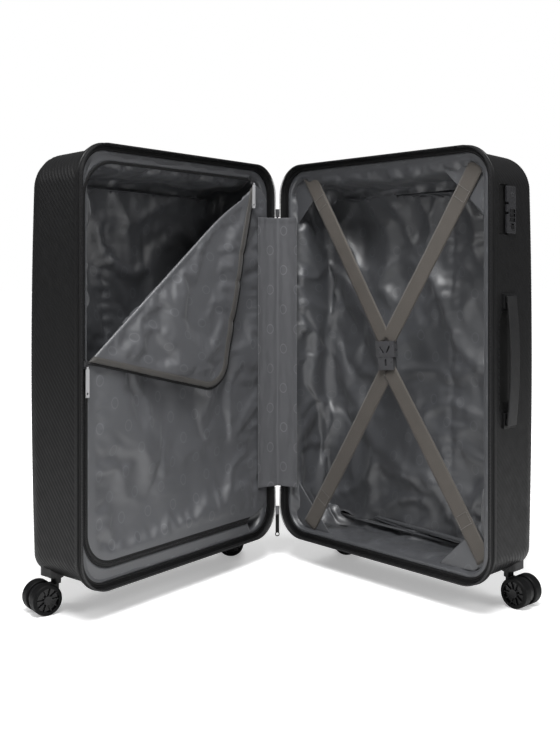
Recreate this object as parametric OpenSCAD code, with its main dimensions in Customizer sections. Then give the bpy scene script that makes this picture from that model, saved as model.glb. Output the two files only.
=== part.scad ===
// Hard shell spinner suitcase, standing open like a book on its four twin-wheel casters.
// The back shell (lock, handles, telescopic handle, cross straps) is square to the axes. The front
// shell (zipped fabric divider) is the same moulding swung open about the vertical spine line.
// Shell frame: u runs from the spine line along the rim, v goes into the shell, z is up.

/* [Case] */
// Width of the rim, along the opening
rim_w = 482; // [440:2:520]
// Height of the rim
rim_h = 700; // [640:5:740]
// Corner radius of the rim
rim_r = 57; // [50:1:64]
// Distance from the spine line to the rim of each shell
spine_gap = 4; // [4:0.5:6]
// Depth of one shell, from the parting plane to its rear panel
shell_d = 150; // [144:2:160]
// How far the middle of the rear panel bulges out
panel_bow = 12; // [0:1:16]
// Wall of the moulded shell
wall = 3; // [2:0.25:3.5]
// Rounding between the side walls and the rear panel
rear_r = 40; // [34:1:44]
// Rounding between the foot wall and the rear panel
foot_r = 16; // [10:1:20]
// Corner radius of the shell's top behind the rim
corner_r = 52; // [44:1:56]
// Corner radius of the shell's foot behind the rim
foot_corner_r = 36; // [32:1:44]
// How far the side and top walls stand inside the rim
wall_step = 8; // [7:0.5:10]
// How far the foot wall stands inside the rim
foot_step = 13; // [11:0.5:15]
// Draft of the side and top walls over the depth
draft = 5; // [2:0.5:7]
// Angle between the two rims
open_angle = 80; // [70:1:110]

/* [Rim] */
// Height of the zip tape in front of the trim
tape_d = 9; // [7:0.5:12]
// Thickness of the zip tape
tape_t = 1.4; // [1:0.1:2]
// Depth of the trim that binds the shell's edge
trim_d = 5; // [4:0.5:6]
// Width of the trim, from the outline inwards
trim_w = 12; // [10:0.5:14]
// Thickness of every fabric part
cloth_t = 1; // [0.8:0.1:1.5]
// Clearance between a soft part and what carries it
soft_gap = 0.3; // [0.2:0.05:0.4]
// Clearance round a rigid insert in its cut-out
insert_gap = 0.3; // [0.2:0.05:0.4]

/* [Casters] */
// Diameter of a wheel
wheel_d = 49; // [46:1:50]
// Width of one wheel of a pair
wheel_w = 18; // [14:0.5:20]
// Thickness of the web between the two wheels
web_t = 9; // [7:0.5:11]
// Distance of the wheel axle behind the swivel axis
trail = 24; // [20:1:26]
// Radius of the wheel axle
axle_r = 3; // [2.5:0.25:3.5]
// Radius of the swivel pin
king_r = 5; // [4:0.5:6]
// Depth of the swivel pin inside its housing
king_d = 20; // [16:1:22]
// Radial running clearance of axles and pins
run_gap = 0.05; // [0.03:0.01:0.08]
// Gap between the wheel top and the caster housing
neck_h = 8; // [7:0.5:12]
// Distance of a swivel axis from the rim's outline
caster_in = 41; // [38:1:46]
// Distance of a swivel axis from the shell's rear edge
caster_back = 41; // [38:1:46]

/* [Carry handles] */
// Length of a carry handle between its feet
grip_len = 190; // [170:2:200]
// Width of the grip
grip_w = 26; // [22:1:30]
// Thickness of the grip
grip_t = 3.6; // [3:0.2:5]
// How far the middle of the grip arches over its ends
grip_rise = 6.5; // [5:0.5:9]
// Depth of the finger recess in the wall
scoop_d = 10; // [8:0.5:10.5]
// How far a carry handle lifts
grip_lift = 6; // [4:0.5:6.5]
// Depth of the carry handles' centre line
handle_v = 61; // [58:1:64]
// Height of the side handle's centre above the rim's foot
handle_z = 357; // [340:1:370]

/* [Lock] */
// Height of the lock plate
lock_h = 76; // [74:1:82]
// Width of the lock plate
lock_w = 27; // [26:0.5:30]
// Thickness of the lock plate
lock_t = 3; // [2.5:0.25:3.5]
// Depth of the lock plate's centre line
lock_v = 66; // [64:1:68]
// Height of the lock's centre above the rim's foot
lock_z = 597; // [560:1:600]
// Radius of a number dial
dial_r = 8; // [7.5:0.25:8.25]
// Depth of the recess that takes the zip pulls
pull_recess = 7; // [5:0.5:7]

/* [Telescopic handle] */
// Distance between the two tube runs
tube_span = 144; // [130:2:150]
// Width of an outer tube
tube_w = 24; // [22:1:26]
// Thickness of an outer tube
tube_t = 16; // [14:0.5:17]
// Wall of each tube
tube_wall = 1.2; // [1:0.1:1.3]
// Clearance between nested tubes
tube_gap = 0.3; // [0.2:0.05:0.4]
// Travel of the middle tubes
middle_travel = 200; // [150:10:220]
// Travel of the inner tubes
inner_travel = 190; // [150:10:220]
// Travel of the release button
button_travel = 4; // [3:0.5:5]
// Distance of the tubes' centre line from the shell's rear edge
tube_back = 19; // [18:0.5:20]
// Depth of the bezel's cup below the top of the rim
bezel_deep = 60; // [58:1:62]

/* [Lining and straps] */
// Gap between the back lining and the tubes
back_lining_gap = 9; // [8:0.5:20]
// Distance of the front lining from the shell's rear edge
front_lining_gap = 24; // [22:1:36]
// Width of the cross straps
strap_w = 30; // [25:1:38]
// Thickness of the webbing
strap_t = 1.5; // [1:0.1:2]
// Depth of the buckled strap
strap_v = 20; // [18:0.5:24]
// Width of the divider's zipper band
zip_w = 10; // [8:0.5:12]
// Distance from the rim to the middle of the divider's zipper at the side
zip_side = 18; // [17:1:30]
// The same at the top
zip_top = 32; // [28:1:45]
// The same at the foot
zip_foot = 37; // [30:1:45]
// Height at which the divider's flap starts at the side, above the rim's foot
fold_low = 351; // [300:1:400]

/* [Cloth spine] */
// Height of the spine cover's lower end above the rim's foot
spine_low = 92; // [80:1:110]
// Distance of its upper end below the top of the rim
spine_drop = 98; // [90:1:110]
// Reach of the cover over the back shell's rim
spine_reach_back = 40; // [36:1:44]
// Reach of the cover over the front shell's rim
spine_reach_front = 44; // [38:1:46]

/* [Hidden] */
$fn = 64;

// Heights, from the floor up
housing_z = wheel_d + neck_h;          // underside of the caster housings
housing_t = 2;                         // housing plate under the foot wall
foot_z = housing_z + housing_t;        // underside of the shells
rim_z = foot_z - foot_step;            // lowest line of the rims
rim_top = rim_z + rim_h;
rim_u0 = spine_gap;
rim_u1 = spine_gap + rim_w;
rim_uc = spine_gap + rim_w / 2;
front_v = tape_d + trim_d;             // front edge of the moulding
lip_v = front_v + 5;                   // end of the flared lip
step_v = front_v + 9;                  // where the walls begin
lip_in = 2.5;                          // lip's distance inside the outline
draft_tilt = atan(draft / (shell_d - step_v));
caster_v = shell_d - caster_back;
tube_v = shell_d - tube_back;
back_lining_d = tube_v - tube_t / 2 - back_lining_gap;
front_lining_d = shell_d - front_lining_gap;

// The floor origin lies under the middle of the whole part
spine_x = (shell_d * sin(open_angle) + 2 - (rim_u1 - caster_in) - trail - wheel_d / 2) / 2;
spine_y = ((rim_u1 - caster_in) * sin(open_angle) + caster_v * cos(open_angle) + trail
    + wheel_d / 2 + 2 - shell_d - panel_bow) / 2;

SHELL_CLR = "#2a2a2b";
TRIM_CLR = "#18181a";
LINING_CLR = "#6f7175";
STRAP_CLR = "#7d7a76";
HARD_CLR = "#202022";
METAL_CLR = "#c9c9cb";

// ---------------------------------------------------------------- placing

module in_back() translate([spine_x, spine_y, 0]) children();

module in_front()
    translate([spine_x, spine_y, 0]) rotate([0, 0, -open_angle]) mirror([0, 1, 0]) children();

// Extrudes a (u, z) outline from depth v0 to depth v1
module plate(v0, v1) translate([0, v1, 0]) rotate([90, 0, 0]) linear_extrude(v1 - v0) children();

// Rounded rectangle in (u, z)
module round_rect(u0, u1, z0, z1, r) {
    translate([u0 + r, z0]) square([u1 - u0 - 2 * r, z1 - z0]);
    translate([u0, z0 + r]) square([u1 - u0, z1 - z0 - 2 * r]);
    for (u = [u0 + r, u1 - r], z = [z0 + r, z1 - r]) translate([u, z]) circle(r);
}

// The rim's outline, moved inwards
module rim_outline(inset)
    round_rect(rim_u0 + inset, rim_u1 - inset, rim_z + inset, rim_top - inset, rim_r - inset);

// Sweeps a profile (distance inside the rim's outline, depth) round the rim
module rim_sweep() {
    translate([rim_uc, 0, rim_z + rim_h / 2]) rotate([90, 0, 0])
        for (side = [0:3]) {
            len_a = side % 2 == 0 ? rim_w : rim_h;
            len_b = side % 2 == 0 ? rim_h : rim_w;
            rotate([0, 0, 90 * side]) {
                translate([len_a / 2 - rim_r, len_b / 2 - rim_r, 0]) rotate_extrude(angle = 90)
                    translate([rim_r, 0]) rotate(180) children();
                translate([rim_r - len_a / 2, 0, 0]) rotate([90, 0, 90])
                    linear_extrude(len_a - 2 * rim_r)
                        translate([len_b / 2, 0]) rotate(180) children();
            }
        }
}

// ---------------------------------------------------------------- shell moulding

function arc_in(v, edge, r) = v > edge ? r - sqrt(max(0, r * r - pow(v - edge, 2))) : 0;
function bulge(z, v) = panel_bow * (1 - pow(2 * (z - rim_z) / rim_h - 1, 2))
    * max(0, (v - step_v) / (shell_d - step_v));

// Right half of a section, from the foot to the top; the left half mirrors it
ARC_STEPS = 6;
SIDE_STEPS = 8;
function half_section(hw, z0, z1, rf, r) = concat(
    [for (k = [0:ARC_STEPS]) let (a = 90 * k / ARC_STEPS - 90)
        [hw - rf + rf * cos(a), z0 + rf + rf * sin(a)]],
    [for (k = [1:SIDE_STEPS - 1]) [hw, z0 + rf + (z1 - z0 - rf - r) * k / SIDE_STEPS]],
    [for (k = [0:ARC_STEPS]) let (a = 90 * k / ARC_STEPS)
        [hw - r + r * cos(a), z1 - r + r * sin(a)]]);

// rf and r are the corner radii at the foot and at the top
function section(v, side_in, foot_in, top_in, rf, r) =
    let (right = half_section(rim_w / 2 - side_in, rim_z + foot_in, rim_top - top_in, rf, r),
        last = len(right) - 1)
    concat(
        [for (p = right) [rim_uc + p[0], v + bulge(p[1], v), p[1]]],
        [for (k = [last:-1:0]) let (p = right[k])
            [rim_uc - p[0], v + bulge(p[1], v), p[1]]]);

// Sections of the moulding's surface, moved outwards by grow, from the front edge to the rear
REAR_STEPS = 6;
function moulding(grow) = concat(
    [for (v = [front_v, lip_v])
        section(v, lip_in - grow, lip_in - grow, lip_in - grow, rim_r - lip_in + grow,
            rim_r - lip_in + grow)],
    [section(step_v, wall_step - grow, foot_step - grow, wall_step - grow,
        foot_corner_r + grow, corner_r + grow)],
    [for (k = [0:REAR_STEPS]) let (a = 90 * k / REAR_STEPS, r = rear_r + grow,
        v = shell_d - rear_r + r * sin(a), back = r * (1 - cos(a)),
        taper = draft * (v - step_v) / (shell_d - step_v),
        side = wall_step + taper - grow + back,
        foot = foot_step - grow + arc_in(v, shell_d - foot_r, foot_r + grow))
        section(v, side, foot, side, foot_corner_r + grow - back * 0.5,
            corner_r + grow - back * 0.7)]);

// Closed skin through a list of sections, with both end sections capped in level strips
module skin(rings) {
    n = len(rings[0]);
    last = len(rings) - 1;
    points = [for (ring = rings, p = ring) p];
    strips = [for (i = [0:n / 2 - 2]) [i, i + 1, n - 2 - i, n - 1 - i]];
    faces = concat(
        [for (s = strips) [s[3], s[2], s[1], s[0]]],
        [for (s = strips) [for (i = s) i + last * n]],
        [for (k = [0:last - 1], i = [0:n - 1]) let (j = (i + 1) % n)
            [k * n + i, k * n + j, (k + 1) * n + j]],
        [for (k = [0:last - 1], i = [0:n - 1]) let (j = (i + 1) % n)
            [k * n + i, (k + 1) * n + j, (k + 1) * n + i]]);
    polyhedron(points, faces, convexity = 6);
}

// The moulding as a solid block, moved outwards by grow
module form(grow = 0) skin(moulding(grow));

module moulded_shell() {
    inner = moulding(-wall);
    skin(concat([for (k = [len(inner) - 1:-1:0]) inner[k]], moulding(0)));
}

// Distance of the wall's surface inside the outline at depth v
function wall_in(v) = wall_step + draft * (v - step_v) / (shell_d - step_v);

// Frame on the outer side wall: x out of the wall, y deeper, z up
module on_side_wall(v, z)
    translate([rim_u1 - wall_in(v), v, rim_z + z]) rotate([0, 0, draft_tilt]) children();

// Frame on the top wall: x out of the wall, y deeper, z along the wall
module on_top_wall(v)
    translate([rim_uc, v, rim_top - wall_in(v)]) rotate([-draft_tilt, 0, 0])
        rotate([0, -90, 0]) children();

module bar(x0, x1, y0, y1, z0, z1) translate([x0, y0, z0]) cube([x1 - x0, y1 - y0, z1 - z0]);

// ---------------------------------------------------------------- carry handles

scoop_half = grip_len / 2 - 16;
scoop_r = (pow(scoop_half, 2) + pow(scoop_d, 2)) / (2 * scoop_d);
scoop_w = grip_w + 22;
base_l = 24;
base_w = grip_w + 8;
base_out = 3.4;                        // height of a base over the wall
base_wall = 1.8;
foot_t = 2.2;                          // plate on each end of a grip, inside its base
foot_gap = 0.3;                        // left above and below that plate
base_in = grip_lift + foot_t + 2 * (base_wall + foot_gap) - base_out;
neck_t = 4;

// Finger recess: a shallow cylinder cut across the wall
module scoop(grow) intersection() {
    translate([scoop_r - scoop_d, 0, 0]) rotate([90, 0, 0])
        cylinder(r = scoop_r + grow, h = scoop_w + 2 * grow, center = true, $fn = 360);
    bar(-scoop_d - grow - 1, grow > 0 ? -1 : 30, -scoop_w, scoop_w,
        -scoop_half - grow, scoop_half + grow);
}

module grip_base() difference() {
    bar(-base_in, base_out, -base_w / 2, base_w / 2, -base_l / 2, base_l / 2);
    bar(-base_in + base_wall, base_out - base_wall, -base_w / 2 + base_wall,
        base_w / 2 - base_wall, -base_l / 2 + base_wall, base_l / 2 - base_wall);
    bar(0, base_out + 1, -grip_w / 2 + 1.5, grip_w / 2 - 1.5, -neck_t / 2 - 0.4, neck_t / 2 + 0.4);
}

// Room that the two bases take in the wall
module base_cuts() for (s = [-1, 1]) translate([0, 0, s * grip_len / 2])
    bar(-base_in - insert_gap, 20, -base_w / 2 - insert_gap, base_w / 2 + insert_gap,
        -base_l / 2 - insert_gap, base_l / 2 + insert_gap);

arch_half = grip_len / 2 + 8;
arch_r = (pow(arch_half, 2) + pow(grip_rise, 2)) / (2 * grip_rise);
arch_x = base_out + 0.5;               // inner face of the arch at its ends
foot_x = -base_in + base_wall + foot_gap;

// Arched grip with a neck and a captive plate at each end
module carry_grip() {
    intersection() {
        translate([arch_x + grip_rise - arch_r, 0, 0]) rotate([90, 0, 0]) difference() {
            cylinder(r = arch_r + grip_t, h = grip_w, center = true, $fn = 360);
            cylinder(r = arch_r, h = grip_w + 2, center = true, $fn = 360);
        }
        bar(0, 40, -grip_w, grip_w, -arch_half, arch_half);
    }
    for (s = [-1, 1]) translate([0, 0, s * grip_len / 2]) {
        bar(foot_x, arch_x + 2.5, -grip_w / 2 + 2, grip_w / 2 - 2, -neck_t / 2, neck_t / 2);
        bar(foot_x, foot_x + foot_t, -grip_w / 2 - 1, grip_w / 2 + 1,
            -base_l / 2 + base_wall + 1, base_l / 2 - base_wall - 1);
    }
}

module side_grip() color(HARD_CLR) in_back() on_side_wall(handle_v, handle_z) carry_grip();
module top_grip() color(HARD_CLR) in_back() on_top_wall(handle_v) carry_grip();

module handle_bases() color(HARD_CLR) in_back() {
    on_side_wall(handle_v, handle_z) for (s = [-1, 1])
        translate([0, 0, s * grip_len / 2]) grip_base();
    on_top_wall(handle_v) for (s = [-1, 1])
        translate([0, 0, s * grip_len / 2]) grip_base();
}

// ---------------------------------------------------------------- lock

case_in = 13.5;                          // depth of the lock case behind the wall
plate_gap = 0.2;                       // between the lock plate and the wall
case_y0 = -6;
case_y1 = 12.5;
case_h = lock_h - 10;
dial_t = 5.4;
dial_pitch = 7;
dial_top = 0.7;                        // how far a dial stands out of the plate
dial_x = lock_t + dial_top - dial_r;
dial_y = 3.5;
dial_z = -2;
rod_r = 1.5;
key_r = 4;
key_z = 24;
notch_z = [10, -5.5];
notch_h = 4;
notch_d = 6;
slide_z = -28;
slide_travel = 3;
recess_y0 = -28;
recess_y1 = -lock_w / 2;
recess_h = lock_h + 2;

module lock_case() color(HARD_CLR) in_back() on_side_wall(lock_v, lock_z) {
    difference() {
        union() {
            translate([plate_gap, 0, 0]) rotate([90, 0, 90]) linear_extrude(lock_t - plate_gap)
                round_rect(-lock_w / 2, lock_w / 2, -lock_h / 2, lock_h / 2, 3);
            bar(-case_in, plate_gap, case_y0, case_y1, -case_h / 2, case_h / 2);
        }
        for (k = [0:2]) translate([0, 0, dial_z - k * dial_pitch])
            bar(dial_x - dial_r - 0.4, lock_t + 1, dial_y - dial_r - 0.4, dial_y + dial_r + 0.4,
                -dial_t / 2 - 0.2, dial_t / 2 + 0.2);
        for (z = notch_z) bar(-1, lock_t + 1, -lock_w / 2 - 1, -lock_w / 2 + notch_d,
            z - notch_h / 2, z + notch_h / 2);
        translate([lock_t - 10, dial_y, key_z]) rotate([0, 90, 0])
            cylinder(r = key_r + run_gap, h = 11);
        bar(lock_t - 2.5, lock_t + 1, dial_y - 4.2, dial_y + 4.2,
            slide_z - 3.2, slide_z + 3.2 + slide_travel);
    }
    translate([dial_x, dial_y, dial_z - 3 * dial_pitch + 2]) cylinder(r = rod_r, h = 3 * dial_pitch + 2);
}

module number_dial(k) color(HARD_CLR) in_back() on_side_wall(lock_v, lock_z)
    translate([dial_x, dial_y, dial_z - k * dial_pitch - dial_t / 2]) difference() {
        cylinder(r = dial_r, h = dial_t);
        translate([0, 0, -1]) cylinder(r = rod_r + run_gap, h = dial_t + 2);
        for (a = [0:36:324]) rotate([0, 0, a + 18]) translate([dial_r, 0, -1])
            cylinder(r = 0.7, h = dial_t + 2, $fn = 16);
    }

module lock_dial_1() number_dial(0);
module lock_dial_2() number_dial(1);
module lock_dial_3() number_dial(2);

module lock_slide() color(HARD_CLR) in_back() on_side_wall(lock_v, lock_z) difference() {
    bar(lock_t - 2.4, lock_t + 0.9, dial_y - 4, dial_y + 4, slide_z - 3, slide_z + 3);
    for (k = [-1:1]) bar(lock_t + 0.5, lock_t + 1, dial_y - 5, dial_y + 5,
        slide_z + k * 1.8 - 0.4, slide_z + k * 1.8 + 0.4);
}

module lock_key_barrel() color(METAL_CLR) in_back() on_side_wall(lock_v, lock_z)
    translate([lock_t - 9.8, dial_y, key_z]) rotate([0, 90, 0]) difference() {
        cylinder(r = key_r, h = 9.8 + 0.2);
        translate([-0.5, -2.5, 4]) cube([1, 5, 8]);
    }

// Room that the lock takes in the wall, and the recess beside it for the zip pulls
module lock_cut() {
    bar(-case_in - insert_gap, 12, case_y0 - insert_gap, case_y1 + insert_gap,
        -case_h / 2 - insert_gap, case_h / 2 + insert_gap);
    bar(-pull_recess, 12, recess_y0, recess_y1 + notch_d, -recess_h / 2, recess_h / 2);
}

module lock_recess_wall() bar(-pull_recess - wall, -1, recess_y0 - wall, recess_y1 + notch_d + wall,
    -recess_h / 2 - wall, recess_h / 2 + wall);

// ---------------------------------------------------------------- telescopic handle

bezel_hu = tube_span / 2 + tube_w / 2 + 9;
bezel_hv = 14;
bezel_floor = rim_top - bezel_deep;
bezel_floor_t = 10;
bezel_lip = 2.2;
bezel_lip_w = 5;
tube_foot = rim_z + 46;
bracket_h = 16;

module tube(w, t, z0, z1) difference() {
    bar(-w / 2, w / 2, -t / 2, t / 2, z0, z1);
    bar(-w / 2 + tube_wall, w / 2 - tube_wall, -t / 2 + tube_wall, t / 2 - tube_wall,
        z0 - 1, z1 + 1);
}

module tube_pair(w, t, z0, z1) for (s = [-1, 1])
    translate([rim_uc + s * tube_span / 2, tube_v, 0]) tube(w, t, z0, z1);

tube_step = 2 * (tube_wall + tube_gap);
mid_w = tube_w - tube_step;
mid_t = tube_t - tube_step;
inn_w = mid_w - tube_step;
inn_t = mid_t - tube_step;
grip_z0 = bezel_floor + bezel_floor_t + 0.5;
grip_z1 = grip_z0 + 26;

module outer_tubes() color(METAL_CLR) in_back()
    tube_pair(tube_w, tube_t, tube_foot, bezel_floor);
module middle_tubes() color(METAL_CLR) in_back()
    tube_pair(mid_w, mid_t, tube_foot + 60, bezel_floor + bezel_floor_t);
module inner_tubes() color(METAL_CLR) in_back()
    tube_pair(inn_w, inn_t, tube_foot + 80, grip_z0);

// Foot that joins the two outer tubes and stands against the rear panel
module tube_bracket() color(HARD_CLR) in_back() difference() {
    bar(rim_uc - tube_span / 2 - 20, rim_uc + tube_span / 2 + 20, tube_v - tube_t / 2 - 2,
        shell_d - wall + bulge(tube_foot - 3, shell_d - wall) - soft_gap,
        tube_foot - 3, tube_foot + bracket_h);
    for (s = [-1, 1]) translate([rim_uc + s * tube_span / 2, tube_v, 0])
        bar(-tube_w / 2, tube_w / 2, -tube_t / 2, tube_t / 2, tube_foot, tube_foot + 40);
    bar(rim_uc - tube_span / 2 + 22, rim_uc + tube_span / 2 - 22, tube_v - tube_t, tube_v + 3,
        tube_foot + 3, tube_foot + 40);
}

module bezel_prism(extra, z0) bar(rim_uc - bezel_hu - extra, rim_uc + bezel_hu + extra,
    tube_v - bezel_hv - extra, tube_v + bezel_hv + extra, z0, rim_top + 20);

// Cup let into the top rear edge, with a lip that follows the shell's surface
module trolley_bezel() color(HARD_CLR) in_back() difference() {
    intersection() {
        form(bezel_lip);
        bezel_prism(bezel_lip_w, bezel_floor);
    }
    difference() {
        form(0);
        bezel_prism(-insert_gap, bezel_floor - 1);
    }
    bar(rim_uc - bezel_hu + 3, rim_uc + bezel_hu - 3, tube_v - bezel_hv + 2.5,
        tube_v + bezel_hv - 2.5, bezel_floor + bezel_floor_t, rim_top + 20);
    for (s = [-1, 1]) translate([rim_uc + s * tube_span / 2, tube_v, 0])
        bar(-mid_w / 2 - tube_gap, mid_w / 2 + tube_gap, -mid_t / 2 - tube_gap,
            mid_t / 2 + tube_gap, bezel_floor - 1, bezel_floor + 20);
}

trolley_hu = bezel_hu - 5;
button_hu = 16;
button_hv = 5;

module trolley_grip() color(HARD_CLR) in_back() difference() {
    union() {
        bar(rim_uc - trolley_hu, rim_uc + trolley_hu, tube_v - 9, tube_v + 9,
            grip_z1 - 15, grip_z1);
        for (s = [-1, 1]) translate([rim_uc + s * (trolley_hu - 10), tube_v, 0])
            bar(-10, 10, -9, 9, grip_z0, grip_z1 - 15);
    }
    // finger bar: the two long top edges are broken
    for (s = [-1, 1]) translate([rim_uc, tube_v + s * 9, grip_z1]) rotate([45, 0, 0])
        cube([2 * trolley_hu + 2, 4, 4], center = true);
    bar(rim_uc - button_hu - insert_gap, rim_uc + button_hu + insert_gap,
        tube_v - button_hv - insert_gap, tube_v + button_hv + insert_gap,
        grip_z1 - 9, grip_z1 + 1);
}

module trolley_button() color(TRIM_CLR) in_back() difference() {
    bar(rim_uc - button_hu, rim_uc + button_hu, tube_v - button_hv, tube_v + button_hv,
        grip_z1 - 9 + button_travel + 0.2, grip_z1 + 1.5);
    for (k = [-2:2]) bar(rim_uc + k * 5 - 0.5, rim_uc + k * 5 + 0.5, tube_v - button_hv - 1,
        tube_v + button_hv + 1, grip_z1 + 1, grip_z1 + 2);
}

// ---------------------------------------------------------------- casters

boss_r = 17;
boss_top = housing_z + king_d + 3;
swivels = [rim_u1 - caster_in, rim_u0 + caster_in];   // outer, inner
housing_r = boss_r + 3;                // half width of the block round a swivel
housing_h = 38;

module at_swivels() for (u = swivels) translate([u, caster_v, 0]) children();

// Blocks under one shell, cut to the moulding they sit on, with a bearing boss each
module caster_housings() {
    difference() {
        union() {
            difference() {
                for (u = swivels) translate([0, 0, housing_z]) linear_extrude(housing_h)
                    round_rect(u - housing_r, u + housing_r, caster_v - housing_r,
                        caster_v + housing_r, 10);
                form(0);
            }
            at_swivels() translate([0, 0, housing_z]) cylinder(r = boss_r, h = boss_top - housing_z);
        }
        at_swivels() translate([0, 0, housing_z - 1])
            cylinder(r = king_r + run_gap, h = king_d + 1.3);
    }
}

module boss_cut() at_swivels() translate([0, 0, foot_z - 5])
    cylinder(r = boss_r + insert_gap, h = boss_top - foot_z + 5);

wheel_r = wheel_d / 2;
web_r = wheel_r - 3;
wheel_in = web_t / 2 + 1;              // inner face of each wheel, from the middle
neck_r = 8;
hub_r = 7;
cap_t = 2.2;                           // hub cap over the axle's end
spokes = 10;

// Places a caster: trail points along the given direction of the shell frame
module caster_at(u, angle) translate([u, caster_v, 0]) rotate([0, 0, angle]) children();

module fork() color(HARD_CLR) difference() {
    union() {
        translate([0, 0, wheel_d - 6]) cylinder(r = neck_r, h = neck_h + 5.6);
        translate([0, 0, housing_z - 4.4]) cylinder(r = neck_r + 4, h = 4);
        translate([0, 0, housing_z - 1]) cylinder(r = king_r, h = king_d + 1);
        intersection() {
            translate([trail, 0, wheel_r]) rotate([90, 0, 0])
                cylinder(r = web_r, h = web_t, center = true);
            bar(-20, trail + wheel_r, -web_t, web_t, wheel_r - 12, wheel_d);
        }
        bar(-3, trail - 6, -web_t / 2, web_t / 2, wheel_r + 4, wheel_d - 4);
    }
    translate([trail, 0, wheel_r]) rotate([90, 0, 0])
        cylinder(r = axle_r, h = web_t + 20, center = true);
}

axle_half = wheel_in + wheel_w - cap_t - 0.3;

module axle() color(METAL_CLR) translate([trail, 0, wheel_r]) rotate([90, 0, 0])
    cylinder(r = axle_r, h = 2 * axle_half, center = true);

// Wheel with a crowned tread, a dished spoked face and a blind axle bore; +z is its outer face
module wheel_body() difference() {
    union() {
        rotate_extrude($fn = 96) difference() {
            union() {
                translate([0, 2.5]) square([wheel_r, wheel_w - 5]);
                translate([0, 0]) square([wheel_r - 2.5, wheel_w]);
                for (y = [2.5, wheel_w - 2.5]) translate([wheel_r - 2.5, y]) circle(2.5);
            }
            translate([hub_r, wheel_w - 4]) square([wheel_r - 6 - hub_r, 5]);
            translate([hub_r, -1]) square([wheel_r - 6 - hub_r, 5]);
        }
        for (k = [0:spokes - 1]) rotate([0, 0, 360 * k / spokes])
            bar(hub_r - 1, wheel_r - 5, -0.9, 0.9, wheel_w - 4.5, wheel_w - 1.2);
    }
    translate([0, 0, -1]) cylinder(r = axle_r + run_gap, h = wheel_w - cap_t + 1);
}

module wheel(side) color(HARD_CLR) translate([trail, side * wheel_in, wheel_r])
    rotate([-90 * side, 0, 0]) wheel_body();

back_outer_dir = 0;
back_inner_dir = 42;
front_outer_dir = 15;
front_inner_dir = 232;

module back_outer() in_back() caster_at(swivels[0], back_outer_dir) children();
module back_inner() in_back() caster_at(swivels[1], back_inner_dir) children();
module front_outer() in_front() caster_at(swivels[0], front_outer_dir) children();
module front_inner() in_front() caster_at(swivels[1], front_inner_dir) children();

module caster_housings_back() color(HARD_CLR) in_back() caster_housings();
module caster_housings_front() color(HARD_CLR) in_front() caster_housings();

// ---------------------------------------------------------------- shells and rims

module back_shell() color(SHELL_CLR) in_back() difference() {
    union() {
        difference() {
            moulded_shell();
            on_side_wall(handle_v, handle_z) base_cuts();
            on_top_wall(handle_v) base_cuts();
            bezel_prism(0, bezel_floor - 1);
            boss_cut();
        }
        intersection() {
            form(-0.5);
            union() {
                on_side_wall(handle_v, handle_z) scoop(wall);
                on_top_wall(handle_v) scoop(wall);
                on_side_wall(lock_v, lock_z) lock_recess_wall();
            }
        }
    }
    on_side_wall(handle_v, handle_z) scoop(0);
    on_top_wall(handle_v) scoop(0);
    on_side_wall(lock_v, lock_z) lock_cut();
}

module front_shell() color(SHELL_CLR) in_front() difference() {
    moulded_shell();
    boss_cut();
}

bead_r = trim_d / 2;

// Binding round the shell's edge with a round bead outside
module trim_profile() {
    polygon(concat(
        [for (k = [0:6]) let (a = 90 + 30 * k)
            [bead_r + bead_r * cos(a), tape_d + bead_r - bead_r * sin(a)]],
        [[trim_w, tape_d + trim_d], [trim_w, tape_d + 1]]));
}

tape_in = 2;
coil_in = 0.8;
coil_d = 2.6;

// Zip tape standing on the trim, with the coil along its free edge
module tape_profile() polygon([[tape_in, tape_d], [tape_in, coil_d], [coil_in, coil_d],
    [coil_in, soft_gap], [tape_in + tape_t, soft_gap], [tape_in + tape_t, tape_d]]);

spine_high = rim_h - spine_drop;       // upper end of the cloth spine, above the rim's foot

module zip_tape() difference() {
    rim_sweep() tape_profile();
    bar(rim_u0 - 1, rim_u0 + 10, -1, tape_d + 1, rim_z + spine_low, rim_z + spine_high);
}

module back_trim() color(TRIM_CLR) in_back() rim_sweep() trim_profile();
module front_trim() color(TRIM_CLR) in_front() rim_sweep() trim_profile();
module back_zip_tape() color(TRIM_CLR) in_back() zip_tape();
module front_zip_tape() color(TRIM_CLR) in_front() zip_tape();

// ---------------------------------------------------------------- linings

lining_v = front_v + soft_gap;
seam_in = 7;                           // seam of the cloth behind the trim

module lining_box(extra, side_out, top_in, spine_in, foot_in, v0, v1, r)
    plate(v0, v1) round_rect(rim_u0 + spine_in + extra, rim_u1 - side_out - extra,
        rim_z + foot_in + extra, rim_top - top_in - extra, r - extra);

// Open cloth box with a seam flange at the rim and a fold over each caster boss
module lining(depth, side_out, top_in, spine_in, foot_in) {
    r = lining_r;
    hump_r = boss_r + 4;
    hump_z = boss_top + 4;
    module hump(grow) intersection() {
        at_swivels() translate([0, 0, foot_z]) cylinder(r = hump_r + grow, h = hump_z - foot_z + grow);
        lining_box(0, side_out, top_in, spine_in, foot_in, lining_v, depth, r);
    }
    difference() {
        union() {
            difference() {
                lining_box(0, side_out, top_in, spine_in, foot_in, lining_v, depth, r);
                lining_box(cloth_t, side_out, top_in, spine_in, foot_in,
                    lining_v - 1, depth - cloth_t, r);
            }
            hump(cloth_t);
        }
        at_swivels() translate([0, 0, foot_z - 20]) cylinder(r = hump_r, h = hump_z - foot_z + 20);
    }
    difference() {
        plate(lining_v, lining_v + cloth_t) rim_outline(seam_in);
        lining_box(cloth_t, side_out, top_in, spine_in, foot_in, lining_v - 1, lining_v + 9, r);
    }
}

back_side = 24;
back_top = 24;
front_side = 24;
spine_side = 18;
foot_side = 17;
lining_r = 34;

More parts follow.
